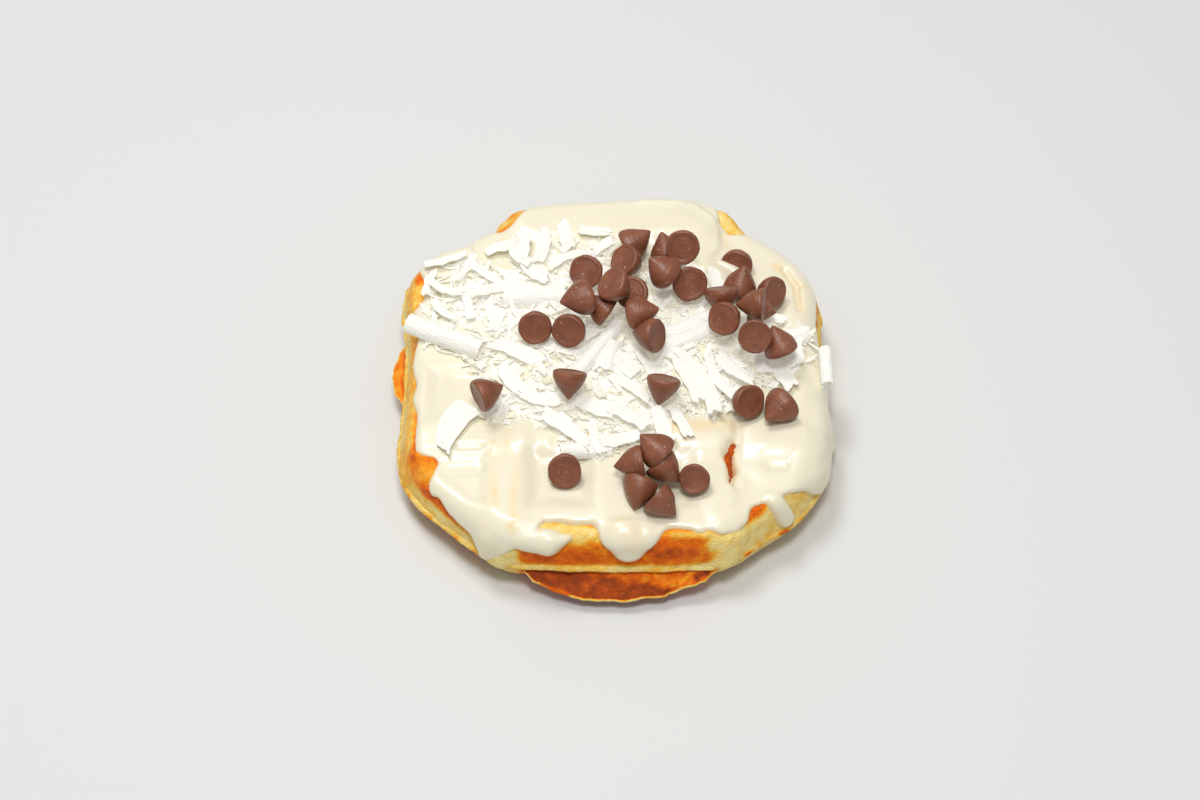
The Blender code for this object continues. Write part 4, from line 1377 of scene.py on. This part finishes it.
@dataclass
class Heap:
    """The heap of white shavings: a mound, large sheets at listed places and strewn ones."""

    seed: int = 5
    strew_seed: int = 10
    pole: Spot = (0.0, 10.0)
    floor: float = 22.3
    sheet: float = 0.24
    sharp: float = 40.0
    mound_rings: int = 26
    roll_steps: tuple[int, int] = (18, 24)
    roll_rim: float = 0.7
    leaf_steps: tuple[int, int] = (22, 8)
    leaf_rim: float = 0.75
    strewn: tuple[Strew, ...] = (
        Strew(Cut.FLAKE, 800, (3.0, 9.0), (1.0, 3.2), (1.2, 5.0), (8, 4), 0.6),
        Strew(Cut.SHRED, 1900, (1.6, 7.0), (0.3, 0.8), (0.8, 2.5), (4, 1), 0.3),
    )
    edge: tuple[Spot, ...] = (
        (56.0, 6.0), (54.0, 14.5), (43.0, 18.5), (34.0, 27.0), (31.0, 34.0),
        (24.0, 36.0), (13.0, 35.5), (6.0, 42.0), (1.0, 47.0), (-6.0, 49.5),
        (-16.5, 48.0), (-24.0, 43.4), (-35.0, 41.0), (-46.0, 36.0),
        (-49.5, 29.5), (-52.6, 20.0), (-52.0, 9.5), (-42.0, 3.5),
        (-36.0, -4.0), (-35.0, -11.0), (-34.0, -17.0), (-27.0, -19.5),
        (-21.0, -20.5), (-12.0, -26.5), (-3.0, -29.5), (6.0, -26.5),
        (16.0, -24.5), (21.0, -17.0), (28.0, -16.5), (34.0, -12.0),
        (40.0, -7.5), (51.0, -4.5),
    )
    rolls: tuple[Roll, ...] = (
        Roll(-46.5, 9.0, 27.6, 23.0, 2.6, -25, 0, 0.8),
        Roll(-21.5, 23.0, 28.2, 17.5, 3.4, 0, 1, 0.55),
        Roll(21.0, 7.0, 28.4, 18.0, 2.3, 26, 0, 0.75),
        Roll(21.5, 12.0, 28.0, 17.0, 2.1, 24, 2, 0.8),
        Roll(-1.0, 1.0, 28.0, 10.0, 3.2, 75, 4, 0.6), Roll(-6.0, 0.0, 28.6, 28.0, 2.0, 55, 2, 0.7),
        Roll(50.4, 9.4, 26.4, 9.6, 2.5, 16, 0, 0.7), Roll(-7.0, -28.6, 25.2, 14.0, 2.2, 2, 0, 0.6),
        Roll(60.0, 0.4, 23.8, 12.6, 1.6, -90, 0, 1.1),
    )
    leaves: tuple[Leaf, ...] = (
        Leaf(-43.8, -21.0, 15.5, 7.4, -117, 24.7, -4, 3, 14),
        Leaf(-12.7, 44.1, 11.5, 4.4, -79, 26.8, 4, 8),
        Leaf(-19.0, 41.5, 13.6, 3.6, -98, 27.0, 2, -10),
        Leaf(-4.4, 46.5, 9.5, 3.0, -7, 26.4, 3, 12, 5),
        Leaf(-2.7, 40.7, 8.0, 2.8, 41, 26.6, 6, 0),
        Leaf(-40.3, 20.1, 10.5, 2.6, -76, 26.2, 0, 6, 5),
        Leaf(-11.3, 37.0, 13.5, 2.8, 20, 27.2, 2, 10, 4),
        Leaf(-26.8, 37.7, 12.0, 4.0, -63, 27.0, 5, -8, 6),
        Leaf(-24.8, 40.4, 11.4, 3.2, -100, 26.8, -4, 6),
        Leaf(-22.2, 31.1, 10.5, 4.0, -45, 27.0, 4, 6),
        Leaf(25.4, -7.6, 22.1, 4.0, -64, 26.8, -3, 8, 7),
        Leaf(29.3, -6.4, 20.0, 3.2, -62, 26.2, -3, -4, 6),
        Leaf(20.7, -5.9, 18.1, 3.6, -66, 27.2, -2, 6, 6),
        Leaf(16.1, 1.4, 8.5, 3.6, -13, 27.6, 3, 4),
        Leaf(34.0, -3.2, 13.0, 4.6, -41, 26.6, -2, -8, 8),
        Leaf(46.9, 0.9, 14.0, 8.0, 18, 25.9, 3, 4, 18),
        Leaf(46.8, -2.2, 14.7, 5.0, -71, 25.5, -4, -5, 12),
        Leaf(6.0, -19.3, 11.8, 4.8, -36, 26.4, 4, -6),
        Leaf(13.7, -22.1, 12.0, 4.2, -73, 26.2, -3, 6, 7),
        Leaf(19.0, -20.4, 10.6, 3.2, -63, 25.6, -4, -6),
        Leaf(30.3, 28.5, 9.9, 4.2, -75, 25.4, -4, 6),
        Leaf(15.0, 51.0, 7.0, 3.4, -81, 23.9, 0, 4, 14),
        Leaf(46.5, 15.6, 5.6, 3.0, -30, 25.4, 4, 4), Leaf(2.0, 0.1, 15.4, 5.0, -38, 27.2, 2, 8, 7),
        Leaf(-4.8, -15.9, 11.0, 5.0, -19, 26.6, -2, 8),
        Leaf(6.6, -9.6, 11.6, 4.4, -44, 27.0, 3, -8, 6),
        Leaf(-14.1, 3.5, 11.6, 3.6, -12, 27.4, 2, 8, 5),
        Leaf(-11.8, -22.6, 15.9, 4.2, -39, 25.6, -3, 4, 7),
        Leaf(3.1, -26.0, 12.6, 4.2, 15, 25.2, -2, -5, 8),
        Leaf(-4.4, -25.9, 10.5, 3.0, -75, 25.4, 3, 0, 5),
        Leaf(-47.4, 37.0, 12.8, 2.6, 18, 25.0, 2, -6, 5),
        Leaf(-47.0, 25.2, 11.0, 2.4, -27, 25.8, 2, 6, 4),
        Leaf(-35.1, 30.5, 12.3, 2.8, -40, 26.2, 2, -6, 5),
        Leaf(-33.2, 15.4, 11.9, 3.2, -67, 26.4, -2, 8, 6),
        Leaf(-47.3, 17.2, 9.6, 2.4, -44, 25.8, 2, 6),
        Leaf(-25.9, 3.0, 14.5, 5.0, -29, 27.0, 0, 6, 9),
        Leaf(-26.4, -8.2, 12.2, 4.4, -45, 26.2, -3, 6, 8),
        Leaf(-19.4, -13.4, 11.5, 3.8, -9, 26.2, 0, 10),
        Leaf(39.5, 7.4, 11.0, 3.8, -29, 26.8, 3, -6),
        Leaf(19.0, 23.5, 14.0, 3.2, 23, 26.6, 2, 8, 5),
        Leaf(-3.0, 30.5, 10.4, 3.8, -56, 26.8, -4, 4),
        Leaf(-8.6, 6.5, 13.2, 3.2, 32, 27.6, 2, -6, 4),
        Leaf(29.2, 12.6, 14.4, 3.2, -14, 27.2, 2, 6, 5),
        Leaf(11.5, -5.1, 16.3, 3.6, -66, 27.4, 0, 8, 5),
        Leaf(-30.0, 41.5, 12.0, 4.0, 10, 26.2, 2, -6),
        Leaf(-41.0, 33.0, 11.0, 2.4, 60, 26.0, 3, 6, 4),
        Leaf(-52.0, 29.0, 9.0, 2.4, 75, 24.8, 3, -6),
        Leaf(-36.0, 24.0, 14.0, 3.2, 12, 27.2, 3, 8, 4),
        Leaf(-28.0, 26.0, 9.0, 4.0, 100, 27.2, 6, 6), Leaf(-8.0, 27.0, 10.0, 4.2, -80, 26.8, 4, 6),
    )

    def limit(self) -> Ring:
        """Sample the outline of the heap."""
        return closed_curve(self.edge, 180)

    def rise(self, share: float) -> float:
        """Height of the heap over its floor."""
        return 0.2 + 3.2 * ease(1.05, 0.5, share)

    def core(self) -> bmesh.types.BMesh:
        """Build the crumbly mound under the loose shavings.

        Returns:
            The mound, with its tone mask.
        """
        outline = self.limit()
        pole = Vector(self.pole)
        rings = [[Vector((p.x, p.y, self.floor - 0.6)) for p in outline]]
        for step in range(self.mound_rings):
            share = 0.97 - 0.95 * step / (self.mound_rings - 1)
            ring = []
            for p in outline:
                spot = pole.lerp(p, share)
                rough = (0.5 * wobble(spot.x, spot.y, 1.0, 3.0)
                         + 0.3 * wobble(spot.x, spot.y, 5.0, 1.2))
                ring.append(Vector((*spot, self.floor - 0.5 + self.rise(share) * 0.8 + rough)))
            rings.append(ring)
        tones = [[0.5 + 0.3 * wobble(p.x, p.y, 0.0, 5.0) for p in ring] for ring in rings]
        return skin_rings(rings, marks={"tone": tones})

    def add_sheet(self, bm: bmesh.types.BMesh, place: Matrix, size: Triple,
                  steps: tuple[int, int], rng: random.Random, ragged: float,
                  tone: float) -> None:
        """Add one bent sheet, without thickness yet.

        Args:
            bm: Mesh that takes the sheet.
            place: Where the middle of its upper side goes.
            size: Length, width on the bent sheet, and radius of the bend.
            steps: Faces along and across.
            rng: Seeded random source.
            ragged: How uneven the rim is, in mm.
            tone: Mark for the material.
        """
        length, width, curl = size
        tones = bm.verts.layers.float["tone"]
        across = bm.verts.layers.float["across"]
        along = bm.verts.layers.float["along"]
        made = bmesh.ops.create_grid(bm, x_segments=steps[0], y_segments=steps[1], size=0.5)
        loose = min(1.0, curl / width)
        lift = rng.uniform(-0.08, 0.08) * loose
        skew = rng.uniform(-0.6, 0.6) * loose
        taper = rng.uniform(-0.45, 0.45) * loose
        sway = rng.uniform(-0.12, 0.12) * loose * loose
        drift = rng.uniform(0.0, 50.0)
        for vert in made["verts"]:
            u, v = vert.co.x, vert.co.y
            rim = ease(0.3, 0.5, abs(u))
            u_mm = u * length + rim * ragged * 1.6 * noise.noise(Vector((0.0, v * 6, drift)))
            u_mm += skew * v * width
            v_mm = v * width * (1.0 - 0.25 * abs(u) + taper * u)
            v_mm += 2 * v * ragged * 0.7 * noise.noise(Vector((u * 5, v * 2, drift + 9)))
            radius = curl * (1.0 + 0.05 * abs(v_mm) / curl)
            angle = v_mm / radius
            bow = lift * length * (u * u * 4.0)
            side = radius * math.sin(angle) + sway * length * u * u * 4.0
            vert.co = place @ Vector((u_mm, side, radius * (math.cos(angle) - 1.0) + bow))
            vert[tones] = tone
            vert[across] = v_mm + drift
            vert[along] = u_mm + drift

    def thicken(self, cut: Cut, bm: bmesh.types.BMesh, material: bpy.types.Material) -> None:
        """Give the sheets their thickness and dress them.

        Args:
            cut: The kind of shaving.
            bm: The sheets.
            material: The shavings' finish.
        """
        thing = new_object(cut.piece, bm)
        solid = thing.modifiers.new("thickness", 'SOLIDIFY')
        solid.thickness = self.sheet
        solid.offset = -1.0
        settle_modifiers(thing)
        finish_piece(thing, material)
        thing.data.set_sharp_from_angle(angle=math.radians(self.sharp))

    def sheets(self) -> bmesh.types.BMesh:
        """Start a mesh with the marks of the sheets.

        Returns:
            The empty mesh.
        """
        bm = bmesh.new()
        for name in ("tone", "across", "along"):
            bm.verts.layers.float.new(name)
        return bm

    def stand(self, x: float, y: float, z: float, heading: float, tilt: float,
              bank: float) -> Matrix:
        """Place a sheet.

        Args:
            x: Middle, to the right.
            y: Middle, to the back.
            z: Height.
            heading: Direction of its length, in degrees.
            tilt: Climb of its length, in degrees.
            bank: Roll about its length, in degrees.

        Returns:
            The placement.
        """
        return (Matrix.Translation((x, y, z)) @ Matrix.Rotation(math.radians(heading), 4, 'Z')
                @ Matrix.Rotation(math.radians(-tilt), 4, 'Y')
                @ Matrix.Rotation(math.radians(bank), 4, 'X'))

    def scatter(self, strew: Strew, material: bpy.types.Material) -> None:
        """Strew one kind of small shaving over the heap.

        Args:
            strew: The kind, its number and its sizes.
            material: The shavings' finish.
        """
        rng = random.Random(self.strew_seed)
        outline = self.limit()
        pole = Vector(self.pole)
        bm = self.sheets()
        for _ in range(strew.count):
            share = math.sqrt(rng.uniform(0.0, 1.0)) * 1.01
            spot = pole.lerp(outline[rng.randrange(len(outline))], share)
            z = self.floor + self.rise(share) * rng.uniform(0.4, 1.15) + 0.5
            place = self.stand(spot.x, spot.y, z, rng.uniform(0, 360), rng.gauss(0, 11),
                               rng.gauss(0, 15))
            tone = rng.random() ** 1.3
            size = (rng.uniform(*strew.length), rng.uniform(*strew.width),
                    rng.uniform(*strew.curl))
            self.add_sheet(bm, place, size, strew.steps, rng, strew.ragged, tone)
        self.thicken(strew.cut, bm, material)

    def place_rolls(self, material: bpy.types.Material) -> None:
        """Lay the large rolled and flat shavings where they are seen.

        Args:
            material: The shavings' finish.
        """
        rng = random.Random(self.seed)
        bm = self.sheets()
        for roll in self.rolls:
            place = self.stand(roll.x, roll.y, roll.z, roll.heading, roll.tilt, 0.0)
            size = (roll.length, roll.radius * 2.0 * math.pi * roll.turns, roll.radius)
            self.add_sheet(bm, place, size, self.roll_steps, rng, self.roll_rim,
                           0.1 * rng.random())
        for leaf in self.leaves:
            place = self.stand(leaf.x, leaf.y, leaf.z, leaf.heading, leaf.tilt, leaf.bank)
            size = (leaf.length, leaf.width, leaf.curl)
            self.add_sheet(bm, place, size, self.leaf_steps, rng, self.leaf_rim,
                           0.35 * rng.random())
        self.thicken(Cut.ROLL, bm, material)

    def build(self, material: bpy.types.Material) -> None:
        """Build the mound and every kind of shaving.

        Args:
            material: The shavings' finish.
        """
        thing = new_object("shaving_mound", self.core())
        finish_piece(thing, material, ("white_shavings",))
        self.place_rolls(material)
        for strew in self.strewn:
            self.scatter(strew, material)


# Chips


@dataclass
class Chips:
    """The drop-shaped chips on top.

    Rows of section are radius and height. Rows of poses are heading, rise of the tip and
    size, from the first chip on. Some chips are moved off their nodes to lie as seen.
    """

    seed: int = 100
    steps: int = 36
    section: tuple[Spot, ...] = (
        (0.0, 8.25), (0.32, 8.05), (0.75, 7.65), (1.25, 7.1), (1.95, 6.3), (2.75, 5.35),
        (3.5, 4.35), (4.1, 3.35), (4.55, 2.3), (4.78, 1.35), (4.8, 0.75), (4.68, 0.3),
        (4.45, 0.04), (4.15, 0.0), (3.8, 0.14), (3.0, 0.2), (1.6, 0.24), (0.0, 0.26),
    )
    poses: tuple[Triple, ...] = (
        (20, 28, 1.02), (100, 48, 0.92), (85, -38, 1.02), (20, -50, 0.98),
        (170, 50, 1.02), (100, -42, 1.04), (75, -46, 1.00), (155, 24, 0.95),
        (-155, 10, 1.04), (10, -50, 1.00), (60, -54, 0.98), (-10, 24, 1.00),
        (155, -22, 1.00), (90, -36, 0.98), (70, -34, 1.00), (78, -28, 0.98),
        (70, 58, 1.00), (140, -32, 0.92), (-15, 2, 0.92), (170, -6, 0.96),
        (-85, -46, 1.00), (50, -40, 1.00), (125, 50, 1.00), (85, -40, 0.98),
        (30, 0, 0.98), (-100, -46, 0.96), (-105, -50, 0.96), (125, -36, 0.98),
        (-135, -2, 1.04), (90, -38, 0.98), (-42, -26, 1.00), (150, 34, 1.03),
        (-172, -6, 0.98), (80, -42, 0.87), (-110, -14, 1.00), (-38, -20, 0.96),
    )
    moved: dict[str, Place] = field(default_factory=lambda: {
        "chip_16": (0.0, 0.0, -2.8), "chip_31": (0.4, -0.9, 1.8), "chip_32": (-1.4, 4.4, -4.0),
        "chip_33": (-0.6, 5.6, -7.6), "chip_34": (0.0, 0.8, -0.5), "chip_36": (-1.0, 3.0, -0.6)})

    def chip_bmesh(self, rng: random.Random) -> bmesh.types.BMesh:
        """Spin the chip's section, then press it a little out of true.

        Args:
            rng: Seeded random source.

        Returns:
            The chip, with the marks of its rings.
        """
        bm = bmesh.new()
        verts = [bm.verts.new((radius, 0.0, z)) for radius, z in self.section]
        edges = [bm.edges.new(pair) for pair in zip(verts, verts[1:])]
        bmesh.ops.spin(bm, geom=verts + edges, axis=(0, 0, 1), cent=(0, 0, 0),
                       angle=2 * math.pi, steps=self.steps, use_merge=True)
        bmesh.ops.remove_doubles(bm, verts=bm.verts, dist=0.001)
        bmesh.ops.recalc_face_normals(bm, faces=bm.faces)
        radius = bm.verts.layers.float.new("radius")
        rise = bm.verts.layers.float.new("rise")
        start = rng.uniform(0, 40)
        lean = rng.uniform(0, 2 * math.pi)
        bend = rng.uniform(0.0, 0.6)
        shift = rng.uniform(0, 90)
        oval = rng.uniform(-0.03, 0.03)
        for vert in bm.verts:
            x, y, z = vert.co
            vert[radius] = start + math.hypot(x, y)
            vert[rise] = start + z
            up = ease(4.5, 8.2, z)
            lump = 0.13 * noise.noise(Vector((x * 0.35, y * 0.35, z * 0.3 + shift)))
            vert.co.x = x * (1 + oval) + math.cos(lean) * bend * up + x * lump * 0.5
            vert.co.y = y * (1 - oval) + math.sin(lean) * bend * up + y * lump * 0.5
        return bm

    def build(self, material: bpy.types.Material) -> None:
        """Put each chip where its node is, or a little off it.

        Args:
            material: The chips' finish.
        """
        for index, (heading, rise, size) in enumerate(self.poses):
            name = "chip_%02d" % (index + 1)
            bm = self.chip_bmesh(random.Random(self.seed + index))
            turn = (Matrix.Rotation(math.radians(heading), 4, 'Z')
                    @ Matrix.Rotation(math.radians(-rise), 4, 'Y')
                    @ Matrix.Rotation(math.pi / 2, 4, 'Y') @ Matrix.Scale(size, 4))
            bmesh.ops.transform(bm, matrix=turn, verts=bm.verts)
            low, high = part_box(name)
            goal = Vector([(a + b) / 2 / MM for a, b in zip(low, high)])
            goal += Vector(self.moved.get(name, (0.0, 0.0, 0.0)))
            spans = [[v.co[i] for v in bm.verts] for i in range(3)]
            here = Vector([(min(span) + max(span)) / 2 for span in spans])
            bmesh.ops.translate(bm, vec=goal - here, verts=bm.verts)
            thing = new_object("brown_" + name, bm)
            finish_piece(thing, material, (name,))


# Studio


@dataclass
class Studio:
    """Camera, floor and soft light."""

    target: Place = (-0.003, 0.00525, 0.0)
    distance: float = 0.671
    elevation: float = 53.7
    lens: float = 70.0
    sensor: float = 36.0
    floor_size: float = 3.0
    floor_level: float = -0.0002
    floor_colour: Colour = (0.635, 0.64, 0.63)
    lamps: tuple[tuple[str, Place, float, float], ...] = (
        ("key", (-0.26, 0.28, 1.1), 0.34, 5.7), ("front", (0.02, -0.26, 1.1), 0.22, 6.0))
    sky: Colour = (1.0, 0.99, 0.98)
    sky_strength: float = 0.41

    def camera(self) -> None:
        """Place the camera at the photograph's viewing angle."""
        data = bpy.data.cameras.new("camera")
        data.lens = self.lens
        data.sensor_width = self.sensor
        data.clip_start = 0.01
        camera = bpy.data.objects.new("camera", data)
        bpy.context.scene.collection.objects.link(camera)
        angle = math.radians(self.elevation)
        away = Vector((0.0, -math.cos(angle), math.sin(angle)))
        camera.location = Vector(self.target) + away * self.distance
        camera.rotation_euler = away.to_track_quat('Z', 'Y').to_euler()
        bpy.context.scene.camera = camera

    def floor(self) -> None:
        """Lay the pale floor."""
        bm = bmesh.new()
        bmesh.ops.create_grid(bm, x_segments=1, y_segments=1, size=self.floor_size)
        floor = new_object("floor", bm)
        floor.location.z = self.floor_level
        material = bpy.data.materials.new("pale_floor")
        material.use_nodes = True
        shader = material.node_tree.nodes["Principled BSDF"]
        shader.inputs["Base Color"].default_value = (*self.floor_colour, 1.0)
        shader.inputs["Roughness"].default_value = 0.9
        floor.data.materials.append(material)

    def lamp(self, name: str, place: Place, size: float, power: float) -> None:
        """Hang a square lamp that faces the waffle.

        Args:
            name: Name of the lamp.
            place: Where it hangs, in metres.
            size: Its side, in metres.
            power: Its power, in watts.
        """
        data = bpy.data.lights.new(name, 'AREA')
        data.shape = 'SQUARE'
        data.size = size
        data.energy = power
        lamp = bpy.data.objects.new(name, data)
        bpy.context.scene.collection.objects.link(lamp)
        lamp.location = place
        lamp.rotation_euler = Vector(place).to_track_quat('Z', 'Y').to_euler()

    def build(self) -> None:
        """Set up the whole studio."""
        self.camera()
        self.floor()
        for row in self.lamps:
            self.lamp(*row)
        world = bpy.data.worlds.new("soft_world")
        world.use_nodes = True
        back = world.node_tree.nodes["Background"]
        back.inputs["Color"].default_value = (*self.sky, 1.0)
        back.inputs["Strength"].default_value = self.sky_strength
        bpy.context.scene.world = world
        bpy.context.scene.view_settings.view_transform = 'Standard'


def main() -> None:
    """Build every piece in order."""
    logging.basicConfig(level=logging.INFO, format="%(name)s: %(message)s")
    Studio().build()
    pores = pore_group()
    crust = CrustFinish().build(pores)
    sauce = SauceFinish().build(pores)
    white = ShavingFinish().build(pores)
    brown = ChipFinish().build(pores)
    waffle = Waffle()
    waffle.build(crust)
    for lip in LIPS:
        lip.build(crust)
    Sauce().build(waffle, sauce)
    Heap().build(white)
    Chips().build(brown)


if __name__ == "__main__":
    main()
